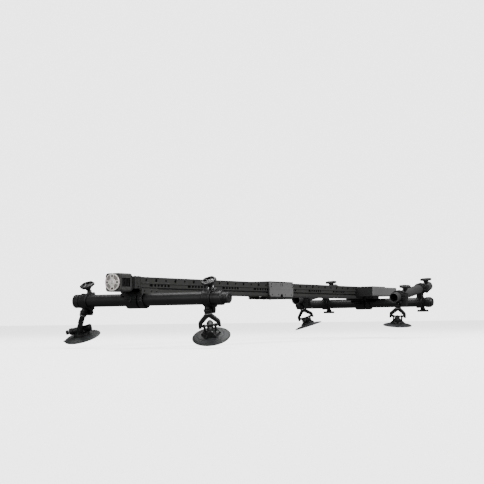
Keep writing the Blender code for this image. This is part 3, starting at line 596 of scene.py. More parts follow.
def build_end_block(name, body_node, outwards):
    """Two ribbed cheeks under a cover plate, open between them for the belt."""
    low, high = box(body_node)
    block = Piece(name)
    paint = "rail_black"
    z0, z1 = low.z - LEVEL, high.z - LEVEL
    for side in BOTH:
        outer, groove, inside = side * 50, side * 47.6, side * 9
        outline = [(low.x, inside), (low.x, outer)]
        step = (high.x - low.x) / 9
        for k in range(1, 8, 2):
            x0, x1 = low.x + k * step + 1, low.x + (k + 1) * step - 0.2
            outline += [(x0, outer), (x0, groove), (x1, groove), (x1, outer)]
        outline += [(high.x, outer), (high.x, inside)]
        block.slab(paint, outline, "Z", (z0, z1 - 5), 0.6)
    end = low.x if outwards < 0 else high.x
    block.box(paint, sorted((end, end - outwards * 4.5)), (-10, 10), (z0, z1 - 5))
    cover = rounded(rectangle(low.x, high.x, -50, 50), 2)
    block.slab(paint, cover, "Z", (z1 - 5, z1), 1)
    block.screws((low.x + 7, high.x - 7), (-42, -18, 18, 42), [z1 - 0.2], (0, 0, 1), 2.8, 1.4)
    for side in BOTH:
        block.screw(((low.x + high.x) / 2, side * 49.6, z0 + 8), (0, side, 0))
    if outwards > 0:
        block.screws([high.x - 0.2], (-38, 38), (z0 + 9, z1 - 12), (1, 0, 0), 3.4, 1.8)
        block.lathe("steel", [(0, 0), (6, 0), (6, 2), (0, 2)],
                    turn=shift((high.x - 1, 0, z0 + 20)) @ Matrix.Rotation(math.pi / 2, 4, "Y"))
    block.finish("frame", body_node)


def build_motor():
    low, high = box("motor_housing")
    face_x = box("gearmotor")[0].x
    place = shift((0, 0, LEVEL + MOTOR_Z))
    half = 36
    paint, dark = "rail_black", "painted_shade_and_chip_black"
    housing = Piece("motor_housing_shell", place)
    section = rounded(rectangle(-half, half, -half, half), 12, 7)
    bore = circle(28.4, 48)
    housing.slab(paint, section, "X", (low.x, low.x + 9), 1.4, [bore])
    housing.slab(paint, section, "X", (high.x - 13, high.x), 2.4, [circle(8.4, 24)])
    middle = (low.x + 8, high.x - 12)
    # Painted shade: the near-black core shows in the recess between the shell bands and fins.
    core = rounded(rectangle(-29.6, 29.6, -29.6, 29.6), 9, 6)
    housing.slab(dark, core, "X", middle, 0, [bore])
    for sign in BOTH:
        band = [(-half, sign * 17), (-half, sign * half), (half, sign * half), (half, sign * 17)]
        inside = [(29, sign * 17), (29, sign * 29), (-29, sign * 29), (-29, sign * 17)]
        shell = rounded(band + inside, [0, 12, 12, 0, 0, 6, 6, 0], 7)
        housing.slab(paint, shell, "X", middle, 0)
    for k in range(5):
        x = middle[0] + (k + 1) * (middle[1] - middle[0]) / 6
        for side in BOTH:
            arc = circle(28.6, 9, (0, 0), math.radians(38), math.radians(-76))
            fin = [(side * y, z) for y, z in [(31.5, -17.6), (31.5, 17.6)] + arc]
            housing.slab("plug_black", fin, "X", (x - 1.6, x + 1.6), 0.4)
    for side in BOTH:
        housing.screws([high.x - 6.5], [side * 34.2], (-24, 24), (0, side, 0), 3.4, 1.8)
    housing.finish("frame", "motor_housing")

    motor = Piece("gearmotor_face", place)
    bright = "silver"
    disc_r = 33.5
    bolts = [(24 * math.cos(a), 24 * math.sin(a)) for a in (0, TAU / 4, TAU / 2, 3 * TAU / 4)]
    holes = [circle(4.3, 20, point) for point in bolts]
    for k in range(4):
        middle_angle = TAU / 8 + k * TAU / 4
        spread = math.radians(27)
        wedge = circle(29.5, 9, (0, 0), middle_angle - spread, 2 * spread)
        wedge += circle(15.5, 7, (0, 0), middle_angle + spread * 0.8, -1.6 * spread)
        holes.append(rounded(wedge, 1.2, 2))
    motor.slab(bright, circle(disc_r, 72), "X", (face_x + 1.2, face_x + 4.6), 0.9, holes)
    # Painted shade: the pocket floor behind the silver face is a darker grey for the shade in the pockets.
    motor.slab("cap_grey_and_painted_shade", circle(disc_r - 0.6, 72), "X", (face_x + 4.2, low.x - 0.3), 0.4)
    # Painted shade: the near-black discs in the bolt holes and behind the centre's pin holes, and the
    # near-black rods inside the housing, stand in for the shade in there.
    for point in bolts:
        motor.slab(dark, circle(4, 20, point), "X", (face_x + 2.4, face_x + 4.6), 0.3)
    pins = [circle(2.3, 14, (0, offset)) for offset in (-3.6, 3.6)]
    motor.slab(bright, circle(10.5, 40), "X", (face_x, face_x + 3), 0.8, pins)
    motor.slab(dark, circle(7, 24), "X", (face_x + 0.8, face_x + 2.6), 0.2)
    motor.rod(dark, disc_r - 3, (low.x - 1.2, low.x + 6), "X")
    motor.rod(dark, 28, (low.x + 1, high.x - 6.3), "X", 40)
    motor.rod("steel", 8, (high.x - 7, high.x + 2.8), "X")
    motor.finish("frame", "gearmotor")


# --- Tubes ---

def start_tube(name, material, place, span, axis):
    tube = Piece(name, place)
    inner_r = TUBE_R - 3
    profile = [(TUBE_R, span[0]), (TUBE_R, span[1]), (inner_r, span[1]), (inner_r, span[0])]
    tube.lathe(material, profile, axis, 72, 0.7)
    return tube


NOSE_START = 5
TIP_BEVEL = 3


def build_cap(name, node, x, inwards_y, outwards, nose, grooves):
    """A plug: a sleeve outside the tube, and a ribbed nose beyond its end."""
    low, high = box(node)
    tip = high.y if outwards > 0 else low.y
    cap = Piece(name, shift((x, inwards_y, LEVEL)))
    length = abs(tip - inwards_y)
    sleeve_r = 27.8
    sleeve = min(22, (high.y - low.y) - length)
    profile = [(TUBE_R + 0.3, -sleeve), (sleeve_r, -sleeve), (sleeve_r, 3), (nose, NOSE_START)]
    for k in range(grooves):
        start = 9 + k * 5
        profile += [(nose, start), (nose - 1.6, start + 0.8), (nose - 1.6, start + 2), (nose, start + 2.8)]
    if length - TIP_BEVEL > NOSE_START + 0.1:
        profile.append((nose, length - TIP_BEVEL))
    profile += [(nose - TIP_BEVEL, length), (nose - 9, length), (nose - 10, length - 2), (0, length - 2)]
    profile += [(0, 0.3), (TUBE_R + 0.3, 0.3)]
    cap.lathe("plug_black", [(r, outwards * h) for r, h in profile], "Y", 56, 0.5)
    cap.rod("screw", 4, (outwards * (length - 2.4), outwards * (length - 0.6)), "Y", 6)
    cap.finish("frame", node)


def build_cross_tubes():
    for name, x in (("front", FRONT_TUBE_X), ("rear", REAR_TUBE_X)):
        low, high = box(name + "_cross_tube")
        place = shift((x, 0, LEVEL))
        tube = start_tube(name + "_tube_skin", "anodised_black", place, (low.y, high.y), "Y")
        tube.finish("frame", name + "_cross_tube")
        nose = 21.5 if name == "front" else 22.5
        build_cap(name + "_cap_far", name + "_tube_cap", x, high.y, 1, 24, 0)
        build_cap(name + "_plug_near", name + "_tube_plug", x, low.y, -1, nose, 4 if name == "front" else 0)


# --- Brackets ---

STRAPS = ((-27, 30), (-55, -33))


def build_bracket(name, node, tube_x, facing):
    """A saddle under the rail, with straps round a cross tube; facing is the side its long end points."""
    low, high = box(node)
    bracket = Piece(name, shift((tube_x, 0, LEVEL)))
    paint = "satin_black"
    far_end = (high.x if facing > 0 else low.x) - tube_x
    back = facing * -34
    top = 25.2
    outline = [(back, -58), (far_end, -58), (far_end, 58), (back, 58)]
    outline = rounded(outline, [4, 4, 4, 22], 7)
    bracket.slab(paint, outline, "Z", (16, top), 1.2)
    lip_top = high.z - LEVEL
    for side in BOTH:
        start = back if side < 0 else back + facing * 24
        lip = [(start, 17), (far_end, 17), (far_end, lip_top), (start, lip_top)]
        lip = rounded(lip, [2, 2, 9, 2])
        bracket.slab("rail_black", lip, "Y", (side * 50.4, side * 58), 1)
        for x in (back * 0.55, far_end * 0.35, far_end * 0.8):
            if side > 0 and x * facing < 8:
                continue
            bracket.screw((x, side * 57.8, (top + lip_top) / 2), (0, side, 0), 3.6, 2.2)
    for span in STRAPS:
        arc = circle(35, 33, (0, 0), math.pi, math.pi)
        inside = circle(25.4, 33, (0, 0), TAU, -math.pi)
        bracket.slab(paint, arc + inside, "Y", span, 1.6)
        upper = circle(25.4, 25, (0, 0), math.pi, -math.pi)
        cheek = [(35, 0), (34, 17), (-34, 17), (-35, 0)]
        bracket.slab(paint, cheek + upper, "Y", span, 1.2)
        middle = sum(span) / 2
        for sign in BOTH:
            ear = rounded(rectangle(sign * 30, sign * 41, middle - 9, middle + 9), 4)
            bracket.slab(paint, ear, "Z", (-7, -0.6), 0.8)
            bracket.slab(paint, ear, "Z", (0.2, 9), 0.8)
            bracket.screw((sign * 37.2, middle, -6.9), (0, 0, -1), 3.4, 2.6)
    bracket.screws((back * 0.6, far_end * 0.72), (-30, 30), [16.2], (0, 0, -1), 4, 2.4)
    bracket.finish("frame", node)


# --- Control box ---

def build_control_box():
    low, high = box("control_box")
    case = Piece("control_case")
    paint, dark = "plate_grey", "satin_black"
    z0, z1 = low.z - LEVEL, high.z - LEVEL
    section = rounded(rectangle(low.y, high.y, z0, z1), [3, 1, 1, 3])
    case.slab(paint, section, "X", (low.x + 3, high.x - 3), 0.4)
    case.slab(dark, section, "X", (low.x, low.x + 2.7), 0.8)
    case.slab(paint, section, "X", (high.x - 2.7, high.x), 0.8)
    for x, facing in ((low.x + 0.2, -1), (high.x - 0.2, 1)):
        case.screws([x], (low.y + 7, high.y - 7), (z0 + 7, z1 - 7), (facing, 0, 0), 2.4, 1.2)
    connector = [(0, 0), (9, 0), (9, 2), (7.4, 2), (7.4, 7), (6, 7), (6, 3), (0, 3)]
    for y in (low.y + 24, low.y + 50):
        turn = shift((high.x, y, (z0 + z1) / 2)) @ Matrix.Rotation(math.pi / 2, 4, "Y")
        case.lathe("screw", connector, "Z", 32, 0.4, turn)
        for k in range(4):
            angle = TAU * k / 4 + TAU / 8
            pin = turn @ shift((2.6 * math.cos(angle), 2.6 * math.sin(angle), 0))
            case.rod("steel", 0.7, (2.5, 5.4), "Z", 10, 0.2, pin)
    seam = rounded(rectangle(low.x + 8, high.x - 8, z0 + 6, z1 - 6), 3)
    inside = rounded(rectangle(low.x + 9, high.x - 9, z0 + 7, z1 - 7), 2.4)
    case.slab(paint, seam, "Y", (low.y - 0.5, low.y + 1), 0.4)
    case.slab(paint, inside, "Y", (low.y - 0.9, low.y), 0.3)
    # Painted shade: near-black slots under the case stand in for the shade inside its vents.
    for k in range(9):
        vent = slot_outline(((low.x + high.x) / 2 + (k - 4) * 12, (low.y + high.y) / 2), 34, 3.4, True)
        case.slab("painted_shade_and_chip_black", vent, "Z", (z0 - 0.2, z0 + 1), 0)
    case.finish("frame", "control_box")

    low, high = box("control_box_lid")
    lid = Piece("control_lid")
    outline = rounded(rectangle(low.x, high.x, low.y, high.y), 5)
    lid.slab(dark, outline, "Z", (low.z - LEVEL, high.z - LEVEL), 1.2)
    top = high.z - LEVEL - 0.2
    lid.screws((low.x + 7, high.x - 7), (low.y + 7, high.y - 7), [top], (0, 0, 1), 2.2, 1.1)
    lid.finish("frame", "control_box_lid")

    low, high = box("control_board")
    board = Piece("circuit_board", Matrix.Identity(4))
    board.box("board_green", (low.x, high.x), (low.y, high.y), (low.z, low.z + 1.6), 0.2)
    for k in range(7):
        x = low.x + 20 + 36 * k
        size = 14 + 5 * (k % 3)
        chip = ((x, x + size), (low.y + 12, low.y + 12 + size), (low.z + 1.5, low.z + 4))
        board.box("painted_shade_and_chip_black", *chip, 0.3)
        board.rod("steel", 4, (low.z + 1.5, low.z + 11), "Z", 20, 0.5, shift((x + 4, high.y - 14, 0)))
    board.finish("frame", "control_board")


# --- Carriage ---

BASE_SCREWS_X = (-96, -34, 34, 96)


def build_carriage():
    low, high = box("carriage_deck")
    width, length = high.y, high.x
    dark, paint = "satin_black", "plate_grey"
    deck = Piece("carriage_deck_plate")
    holes = [circle(3.3, 20, (sx * 38, sy * 38)) for sx, sy in CORNERS]
    holes += [circle(2.2, 14, (sx * 66, sy * 26)) for sx, sy in CORNERS]
    holes += [slot_outline((sx * 84, 0), 34, 7, True) for sx in BOTH]
    outline = rounded(rectangle(-length, length, -width, width), 4)
    deck.slab(dark, outline, "Z", DECK_Z, 0.9, holes)
    for sx, sy in CORNERS:
        axle = (sx * 90, sy * 19.7)
        deck.rod("steel", 5, (75, 92), "Z", 24, 0.5, shift((*axle, 0)))
        deck.screw((*axle, DECK_Z[1] - 0.6), (0, 0, 1), 4.4, 0.9)
    rows = (-108, -64, -20, 20, 64, 108)
    deck.screws(rows, (-57.6, 57.6), [DECK_Z[1] - 0.6], (0, 0, 1), 2.6, 0.9)
    deck.finish("carriage", "carriage_deck")

    z0, z1 = box("carriage_side_near")[0].z - LEVEL, box("carriage_side_near")[1].z - LEVEL
    corner = 9
    notch = circle(13, 17, (0, z0), math.pi, -math.pi)
    outline = [(-length, z1), (-length, z0 + corner), (corner - length, z0)] + notch
    outline += [(length - corner, z0), (length, z0 + corner), (length, z1)]
    openings = [slot_outline((x, z1 - 11), 14, 6, True) for x in (-9, 9)]
    openings += [circle(2.6, 14, (sx * 56, z1 - 9)) for sx in BOTH]
    for name, side in (("near", -1), ("far", 1)):
        plate = Piece("carriage_plate_" + name)
        faces = (side * 54, side * width)
        plate.slab(paint, outline, "Y", faces, 1, openings)
        plate.slab(paint, rounded(rectangle(12 - length, length - 12, 60, 62.4), 1),
                   "Y", (side * (width - 1), side * (width + 0.8)), 0.5)
        # Painted shade: a near-black sheet inside the plate, behind its openings, stands in for the shade
        # there.
        plate.slab("painted_shade_and_chip_black", rectangle(-20, 20, z1 - 18, z1 - 2), "Y", (side * 54.4, side * 55), 0)
        face = [side * (width - 0.2)]
        plate.screws((12 - length, length - 12), face, (z1 - 8, z1 - 20), (0, side, 0), 3.4, 1.8)
        plate.screws(BASE_SCREWS_X, face, [z0 + 10], (0, side, 0))
        plate.finish("carriage", "carriage_side_" + name)

    low, high = box("carriage_base")
    base = Piece("carriage_base_plate")
    outline = rounded(rectangle(low.x, high.x, low.y, high.y), 6)
    window = rounded(rectangle(-70, 70, -32, 32), 9)
    base.slab(dark, outline, "Z", (low.z - LEVEL, high.z - LEVEL), 1.4, [window])
    base.screws(BASE_SCREWS_X, (-56, 56), [low.z - LEVEL + 0.2], (0, 0, -1), 3.4, 1.8)
    base.finish("carriage", "carriage_base")

    low, high = box("belt_clamp")
    clamp = Piece("belt_clamp_block")
    z0, z1 = low.z - LEVEL, high.z - LEVEL
    clamp.slab(paint, rectangle(-9.5, 9.5, z0, z1), "X", (low.x, high.x), 0.6,
               [rectangle(-6.5, 6.5, 78.8, 81.2)])
    clamp.finish("carriage", "belt_clamp")

    for end in ("front", "rear"):
        for side in ("near", "far"):
            node = f"roller_{end}_{side}"
            point = joint_point(node + "_spin")
            roller = Piece(f"guide_roller_{end}_{side}", shift((point.x, point.y, LEVEL)))
            bearing = [(5.3, 76), (12, 76), (12, 79), (11.4, 80), (12, 81), (12, 84), (5.3, 84)]
            roller.lathe("steel", bearing, "Z", 40, 0.5)
            for k in range(3):
                mark = circle(1.1, 10, (8.5 * math.cos(TAU * k / 3), 8.5 * math.sin(TAU * k / 3)))
                roller.slab("screw", mark, "Z", (75.8, 84.15), 0.1)
            roller.finish(node, node)


# --- Belt drive ---

def build_belt_drive():
    centres = [joint_point(name + "_pulley_spin") for name in ("drive", "idler")]
    belt = Piece("toothed_belt", shift((0, 0, centres[0].z)))
    radius = 16
    run = centres[1].x - centres[0].x
    pitch = 5
    arc = math.pi * radius
    count = round((2 * run + 2 * arc) / pitch)

    def along(distance, r):
        """The point at a distance round the belt, on a path of radius r about the pulleys."""
        if distance < run:
            return centres[0].x + distance, r
        distance -= run
        if distance < arc:
            angle = math.pi / 2 - distance / radius
            return centres[1].x + r * math.cos(angle), r * math.sin(angle)
        distance -= arc
        if distance < run:
            return centres[1].x - distance, -r
        angle = -math.pi / 2 - (distance - run) / radius
        return centres[0].x + r * math.cos(angle), r * math.sin(angle)

    step = (2 * run + 2 * arc) / count
    outer = [along(i * step, radius + 0.7) for i in range(count)]
    inside = []
    for i in range(count):
        inside += [along((i + share) * step, radius - depth) for share, depth in
                   ((0.05, 0.0), (0.15, 0.6), (0.45, 0.6), (0.55, 0.0))]
    belt.slab("belt_black", outer, "Y", (-6, 6), 0, [inside])
    belt.finish("frame", "drive_belt")

    for name in ("drive", "idler"):
        node = name + "_pulley"
        pulley = Piece(name + "_toothed_pulley", shift(joint_point(node + "_spin")))
        teeth = star(14.9, 20, 0.08, 6)
        pulley.slab("steel", teeth, "Y", (-6.4, 6.4), 0)
        for side in BOTH:
            pulley.rod("steel", 14.9, (side * 6.4, side * 7), "Y", 48, 0.2)
        pulley.rod("steel", 4, (-25, 25), "Y")
        pulley.finish(node, node)


# --- Knobs and clamps ---

GRIP_R = 31
LOBES = 6


def build_knob(name, node, body, place, grip, screw_end):
    """A six-lobed rim on dished spokes, a tapered hub and its screw, along the frame's Z."""
    knob = Piece(name, place)
    black = "knob_black"
    low, high = grip
    inwards = 1 if screw_end > high else -1
    base, top = (high, low) if inwards > 0 else (low, high)

    def level(depth):
        """A height measured from the grip's inner side towards the screw's end."""
        return base + inwards * depth

    knob.slab(black, star(GRIP_R, LOBES, 0.1, 16), "Z", (top, level(-2.5)), 3, [circle(22.5, 48)])
    spoke = [(8, level(2)), (24, level(-6)), (24, level(-12)), (8, level(-7))]
    for k in range(LOBES):
        turn = Matrix.Rotation(TAU * k / LOBES, 4, "Z")
        knob.slab(black, spoke, "Y", (-2.4, 2.4), 0.8, turn=turn)
    hub = [(0, level(-9)), (9, level(-9)), (13, level(-6)), (14.5, level(0)), (12, level(8))]
    hub += [(8, level(14)), (8, level(19)), (0, level(19))]
    knob.lathe(black, hub, "Z", 32, 1)
    knob.lathe("steel", [(0, 0), (11, 0), (11, 1.6), (0, 1.6)], "Z", 32, 0.3, shift((0, 0, level(20.5))))
    knob.rod("screw", 4.9, (base, screw_end), "Z", 20, 0.8)
    knob.rod("screw", 3.2, (level(-10.5), level(-8)), "Z", 6, 0.4)
    knob.finish(body, node)


RING_R, RING_HALF_WIDTH = 31, 18.5
LUG_REACH, LUG_HALF = 49, 17
SLIT_HALF = 1


def add_ring(clamp, turn=None):
    """A split ring round a tube, open at +X between two lugs, with a raised band near each rim."""
    inner_r = TUBE_R + 0.3
    lug_angle, slit_angle = math.asin(LUG_HALF / RING_R), math.asin(SLIT_HALF / inner_r)
    outline = circle(RING_R, 49, (0, 0), lug_angle, TAU - 2 * lug_angle)
    outline += [(LUG_REACH, -LUG_HALF), (LUG_REACH, -SLIT_HALF)]
    outline += circle(inner_r, 49, (0, 0), -slit_angle, 2 * slit_angle - TAU)
    outline += [(LUG_REACH, SLIT_HALF), (LUG_REACH, LUG_HALF)]
    clamp.slab("satin_black", outline, "Y", (-RING_HALF_WIDTH, RING_HALF_WIDTH), 2, turn=turn)
    band = circle(31.8, 41, (0, 0), 0.75, TAU - 1.5)
    band += circle(28, 41, (0, 0), TAU - 0.75, 1.5 - TAU)
    for y in (5 - RING_HALF_WIDTH, RING_HALF_WIDTH - 5):
        clamp.slab("satin_black", band, "Y", (y - 2.4, y + 2.4), 0.8, turn=turn)


def add_bosses(clamp, turn=Matrix.Identity(4)):
    """The flats of a split ring's two lugs, which its screw passes through."""
    for z in (17, -21):
        clamp.rod("satin_black", 9.5, (z, z + 4), "Z", 28, 1, turn @ shift((SCREW_OFFSET, 0, 0)))


def build_leg_clamp(leg, node, body, place, neck_turn, lean):
    """The clamp on a tube, with a gusset and the ball under it."""
    clamp = Piece(leg + "_clamp_body", place)
    paint = "satin_black"
    add_ring(clamp)
    add_bosses(clamp)
    if leg.startswith("front"):
        upright = Matrix.Rotation(-lean, 4, "Y")
        gusset = [(-16, -20), (31, -15), (34, -45), (30, -58), (18, -58), (13, -50), (10, -34), (-10, -27)]
        gusset = rounded(gusset, [0, 0, 4, 5, 5, 4, 4, 0], 4)
        clamp.slab(paint, gusset, "Y", (-13, 13), 2, turn=upright)
        shoulder = [(-12, -23), (32, -14), (33, -34), (2, -37)]
        clamp.slab(paint, rounded(shoulder, 3), "Y", (-21, 21), 4, turn=upright)
        for y in (-13.2, 13.2):
            clamp.screw(upright @ Vector((24, y, -48)), upright.to_3x3() @ Vector((0, y, 0)), 4, 2)
    else:
        lug = [(24, -14), (49, -14), (49, -44), (43, -50), (27, -50), (22, -40)]
        clamp.slab(paint, rounded(lug, 3, 3), "Y", (-15, 15), 2)
    neck = [(0, -24), (17, -24), (12, -31), (8, -34), (7.6, -BALL_DROP), (0, -BALL_DROP)]
    clamp.lathe(paint, neck, "Z", 32, 1, neck_turn)
    half_turn = [math.pi * k / 16 for k in range(17)]
    ball = [(BALL_R * math.sin(a), BALL_R * math.cos(a) - BALL_DROP) for a in half_turn]
    ball[0] = (0, ball[0][1])
    ball[-1] = (0, ball[-1][1])
    clamp.lathe(paint, ball, "Z", 36, 0, neck_turn)
    clamp.finish(body, node)


def build_fork(leg, node, body, place, pin_z):
    """A wishbone of two curved arms under a collar; its feet hold the cup's pin."""
    fork = Piece(leg + "_fork_arms", place)
    paint = "satin_black"
    socket = [(BALL_R + 0.3, -2), (15, -2), (16, -4), (16, -10)]
    socket += [(13.6, -15), (13.6, -24), (0, -24), (0, -14), (9, -10)]
    fork.lathe(paint, socket, "Z", 36, 0.8)
    collar = [(13, -16.5), (15, -16.5), (15, -20), (13, -20)]
    fork.lathe("steel", collar, "Z", 36, 0.6)
    half, arm, top, knee = 42.8, 13, -21, pin_z + 16
    outer = [(-half, pin_z), (-half, knee), (-13, top), (13, top), (half, knee), (half, pin_z)]
    inside = [(half - arm, pin_z), (half - arm - 2, knee - 6), (0, top - 12)]
    inside += [(arm + 2 - half, knee - 6), (arm - half, pin_z)]
    radii = [0, 16, 7, 7, 16, 0, 0, 12, 5, 12, 0]
    fork.slab(paint, rounded(outer + inside, radii, 6), "X", (-10.5, 10.5), 3)
    for side in BOTH:
        foot = circle(9, 28, (0, pin_z))
        fork.slab(paint, foot, "Y", (side * 32.6, side * 43), 1.2, [circle(4.3, 20, (0, pin_z))])
    fork.finish(body, node)


def build_pump(leg, nodes, bodies, place):
    """The pump on the cup's back with its plunger, and the cup; the frame's origin is the pin."""
    pump = Piece(leg + "_pump", place)
    paint = "satin_black"
    barrel = [(0, -46), (11, -46), (14, -42), (14, -33), (12.8, -31)]
    barrel += [(12.8, 31), (14, 33), (14, 44), (12, 46)]
    barrel += [(10.2, 46), (10.2, 35), (8.6, 33), (8.6, 17), (0, 17)]
    pump.lathe(paint, barrel, "X", 36, 0.8, shift((0, 0, -PUMP_DROP)))
    hub = [(0, -15), (19, -15), (21, -22.6), (32, -28), (34, -36.8), (0, -36.8)]
    pump.lathe(paint, hub, "Z", 44, 1.2)
    for k in range(6):
        turn = Matrix.Rotation(TAU * (k + 0.5) / 6, 4, "Z")
        rib = [(17, -17), (20, -17), (38, -33), (38, -36.8), (17, -36.8)]
        pump.slab(paint, rib, "Y", (-1.8, 1.8), 0.6, turn=turn)
    cheek = rounded([(-11, -20), (11, -20), (9, 6), (-9, 6)], [1, 1, 7, 7])
    for side in BOTH:
        pump.slab(paint, cheek, "Y", (side * 17, side * 25), 1)
    pump.rod("screw", 4, (-43, 43), "Y", 24)
    for side in BOTH:
        pump.rod("screw", 6, (side * 25, side * 29), "Y", 24)
    valve = shift((0, -13.4, -PUMP_DROP))
    pump.rod("silver", 2.6, (-2.4, 0.8), "Y", 20, 0.5, valve)
    pump.finish(bodies["cup"], nodes["pump"])

    plunger = Piece(leg + "_plunger_button", place @ shift((0, 0, -PUMP_DROP)))
    button = [(0, 32), (8, 32), (8, 50), (9.4, 52), (9.4, 58), (7, 61), (0, 61)]
    plunger.lathe(paint, button, "X", 32, 0.8)
    plunger.lathe("steel", [(7.6, 47), (8.2, 47), (8.2, 49), (7.6, 49)], "X", 32, 0.1)
    plunger.finish(bodies["plunger"], nodes["plunger"])

    cup = Piece(leg + "_rubber_cup", place)
    top = -PIN_TO_CUP
    profile = [(0, top), (33, top), (35, top - 0.6), (36, top - 1.4), (48, top - 2.4)]
    profile += [(49, top - 1.6), (51, top - 1.8), (52, top - 3), (64, top - 5.2)]
    profile += [(70, top - 7), (CUP_R - 1, top - 9.4), (CUP_R, top - 12)]
    profile += [(CUP_R - 5, top - 12), (CUP_R - 8, top - 9.4), (60, top - 8.4), (30, top - 8), (0, top - 8)]
    cup.lathe("rubber", profile, "Z", 84, 0.6)
    tab = rounded([(CUP_R - 4, -9), (CUP_R + 5, -7), (CUP_R + 5, 7), (CUP_R - 4, 9)], 3)
    cup.slab("rubber", tab, "Z", (top - 11.6, top - 8.6), 1)
    cup.finish(bodies["cup"], nodes["cup"])


def build_leg(leg):
    """Everything from a leg's clamp down to its cup, placed by the leg's own joints."""
    clamp_at = joint_point(leg + "_clamp_turn")
    clamp_frame = frame_on(clamp_at, joint_axis(leg + "_clamp_turn"), joint_axis(leg + "_knob_spin"))
    if clamp_frame.to_3x3().col[0].dot(joint_point(leg + "_knob_spin") - clamp_at) < 0:
        clamp_frame = frame_on(clamp_at, -joint_axis(leg + "_clamp_turn"), joint_axis(leg + "_knob_spin"))
    ball = clamp_frame.inverted() @ joint_point(leg + "_fork_swivel")
    neck_turn = Matrix.Rotation(math.atan2(-ball.x, -ball.z), 4, "Y")
    up = clamp_frame.to_3x3().inverted() @ Vector((0, 0, 1))
    lean = -math.atan2(up.x, up.z)
    build_leg_clamp(leg, leg + "_leg_clamp", leg + "_clamp", clamp_frame, neck_turn, lean)

    spin = leg + "_knob_spin"
    screw = frame_on(joint_point(spin), joint_axis(leg + "_clamp_turn"), joint_axis(spin))
    build_knob(leg + "_star_knob", leg + "_clamp_knob", leg + "_knob", screw, (45, 59), -44)

    pin = joint_point(leg + "_cup_tilt")
    fork_at = joint_point(leg + "_fork_swivel")
    fork_frame = frame_on(fork_at, joint_axis(leg + "_cup_tilt"), joint_axis(leg + "_fork_swivel"))
    build_fork(leg, leg + "_leg_fork", leg + "_fork", fork_frame, -(pin - fork_at).length)

    x_axis = -joint_axis(leg + "_plunger_press")
    y_axis = joint_axis(leg + "_cup_tilt")
    z_axis = x_axis.cross(y_axis)
    if z_axis.dot(joint_axis(leg + "_fork_swivel")) < 0:
        y_axis, z_axis = -y_axis, -z_axis
    pump_frame = axes(pin, x_axis, y_axis, z_axis)
    nodes = {"pump": leg + "_pump_body", "plunger": leg + "_pump_plunger", "cup": leg + "_suction_cup"}
    build_pump(leg, nodes, {"cup": leg + "_cup", "plunger": leg + "_plunger"}, pump_frame)


# --- Outriggers ---

def build_outrigger(side):
    body = "outrigger_" + side
    crossing = joint_point(body + "_tilt")
    screw_at = joint_point(f"cross_top_knob_{side}_spin")
    up = joint_axis(f"cross_top_knob_{side}_spin")
    across = Vector((0, 1, 0))
    tube_at = Vector((screw_at.x, crossing.y, screw_at.z))
    tube_frame = frame_on(tube_at, across, up)
    low, high = box("outrigger_" + side)
    along = tube_frame.to_3x3().col[0]
    reach = TUBE_R * abs(along.z)
    span = ((low.x + reach - tube_at.x) / along.x, (high.x - reach - tube_at.x) / along.x)
    tube = start_tube("outrigger_tube_" + side, "tube_grey", tube_frame, span, "X")
    rear = span[1]
    cap = [(0, rear - 9), (TUBE_R - 3.2, rear - 9), (TUBE_R - 3.2, rear + 0.2)]
    cap += [(TUBE_R + 0.6, rear + 0.2), (TUBE_R + 0.6, rear + 2.2), (0, rear + 2.8)]
    tube.lathe("cap_grey_and_painted_shade", cap, "X", 56, 0.8)
    tube.finish(body, "outrigger_" + side)

    clamp = Piece("cross_clamp_body_" + side, shift(crossing))
    paint = "satin_black"
    add_ring(clamp)
    local = shift(crossing).inverted() @ tube_frame
    upper_turn = local @ Matrix.Rotation(-math.pi / 2, 4, "Z")
    add_ring(clamp, upper_turn)
    rise = (screw_at - crossing).z
    post = [(-15, 26), (15, 26), (17, rise - 26), (-17, rise - 26)]
    clamp.slab(paint, post, "Y", (-15, 15), 2)
    add_bosses(clamp)
    add_bosses(clamp, upper_turn)
    clamp.finish(body, "cross_clamp_" + side)

    top = frame_on(screw_at, across, up)
    build_knob("cross_knob_top_" + side, "cross_top_knob_" + side, "cross_top_knob_" + side, top,
               (42, 56), -24)
    bottom = shift(joint_point(f"cross_bottom_knob_{side}_spin"))
    build_knob("cross_knob_bottom_" + side, "cross_bottom_knob_" + side, "cross_bottom_knob_" + side, bottom,
               (-52, -38), 24)


# --- Stage ---

FLOOR_GLOW, AMBIENT, BACKDROP = 2.4, 0.2, 3.5
WHITE = (1, 1, 1, 1)
FLOOR_REACH = 40
CAMERA_AT = Vector((-4.899, -2.674, LEVEL * MM - 0.088))
CAMERA_TURNS = (30, 3.88, 0.75)  # yaw, pitch and roll, in degrees
CAMERA_LENS = 86.36
LIGHTS = {  # place, target and size, and the power in watts
    "key": ((-1.0, -5.5, 3.0), (0, 0, 0), (4, 2), 520),
    "fill": ((-6.0, 0.5, 1.5), (-0.5, 0, 0), (2.5, 2.5), 150),
    "top": ((0.5, 0.5, 4.0), (0, 0, 0), (5, 2.5), 260),
}


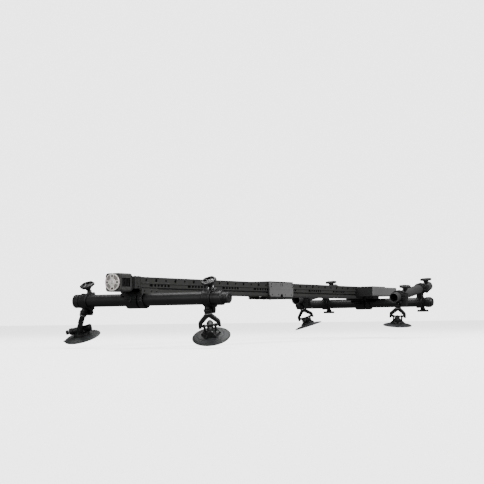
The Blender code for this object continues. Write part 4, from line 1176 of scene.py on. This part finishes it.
def build_stage():
    """A pale floor that only the camera sees, and a sky that is brighter to the camera than to the object."""
    floor_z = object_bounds()[0][2] - MM
    mesh = bpy.data.meshes.new("studio_floor")
    square = rectangle(-FLOOR_REACH, FLOOR_REACH, -FLOOR_REACH, FLOOR_REACH)
    corners = [(*corner, floor_z) for corner in square]
    mesh.from_pydata(corners, [], [(0, 1, 2, 3)])
    floor = add_object("studio_floor", mesh)
    paper = bpy.data.materials.new("studio_paper")
    paper.use_nodes = True
    shader = paper.node_tree.nodes["Principled BSDF"]
    set_inputs(shader, {"Base Color": (0.9, 0.9, 0.9, 1), "Roughness": 0.9, "Emission Color": WHITE,
                        "Emission Strength": FLOOR_GLOW})
    floor.visible_diffuse = False
    floor.visible_glossy = False
    mesh.materials.append(paper)

    world = bpy.data.worlds.new("studio")
    bpy.context.scene.world = world
    world.use_nodes = True
    tree = world.node_tree
    ambient = tree.nodes["Background"]
    set_inputs(ambient, {"Color": WHITE, "Strength": AMBIENT})
    backdrop = tree.nodes.new("ShaderNodeBackground")
    set_inputs(backdrop, {"Color": WHITE, "Strength": BACKDROP})
    seen = tree.nodes.new("ShaderNodeLightPath")
    mix = tree.nodes.new("ShaderNodeMixShader")
    connect(tree, seen, "Is Camera Ray", mix, 0)
    connect(tree, ambient, 0, mix, 1)
    connect(tree, backdrop, 0, mix, 2)
    connect(tree, mix, 0, tree.nodes["World Output"], "Surface")


def add_light(name, location, target, size, power):
    light = bpy.data.lights.new(name, "AREA")
    light.shape = "RECTANGLE"
    light.size, light.size_y = size
    light.energy = power
    holder = add_object(name, light)
    holder.location = location
    holder.rotation_euler = (Vector(target) - Vector(location)).to_track_quat("-Z", "Y").to_euler()


def build_camera():
    """A camera level with the rig, at its front left, with a long lens."""
    yaw, pitch, roll = (math.radians(turn) for turn in CAMERA_TURNS)
    ahead = Vector((math.cos(yaw) * math.cos(pitch), math.sin(yaw) * math.cos(pitch), math.sin(pitch)))
    right = Vector((math.sin(yaw), -math.cos(yaw), 0))
    turned = axes(CAMERA_AT, right, right.cross(ahead), -ahead)
    camera = add_object("camera", bpy.data.cameras.new("camera"))
    camera.data.sensor_width = 36
    camera.data.lens = CAMERA_LENS
    camera.data.clip_end = 200
    camera.matrix_world = turned @ Matrix.Rotation(-roll, 4, "Z")
    bpy.context.scene.camera = camera


# --- Build ---

build_camera()
build_rail()
build_end_block("drive_block", "drive_end_block", -1)
build_end_block("idler_block", "idler_end_block", 1)
build_motor()
build_cross_tubes()
build_bracket("front_saddle", "front_bracket", FRONT_TUBE_X, 1)
build_bracket("rear_saddle", "rear_bracket", REAR_TUBE_X, -1)
build_control_box()
build_carriage()
build_belt_drive()
for side_name in ("near", "far"):
    build_outrigger(side_name)
for leg_name in ("front_far", "front_near", "rear_near", "rear_far"):
    build_leg(leg_name)
build_stage()
for light_name, settings in LIGHTS.items():
    add_light(light_name, *settings)
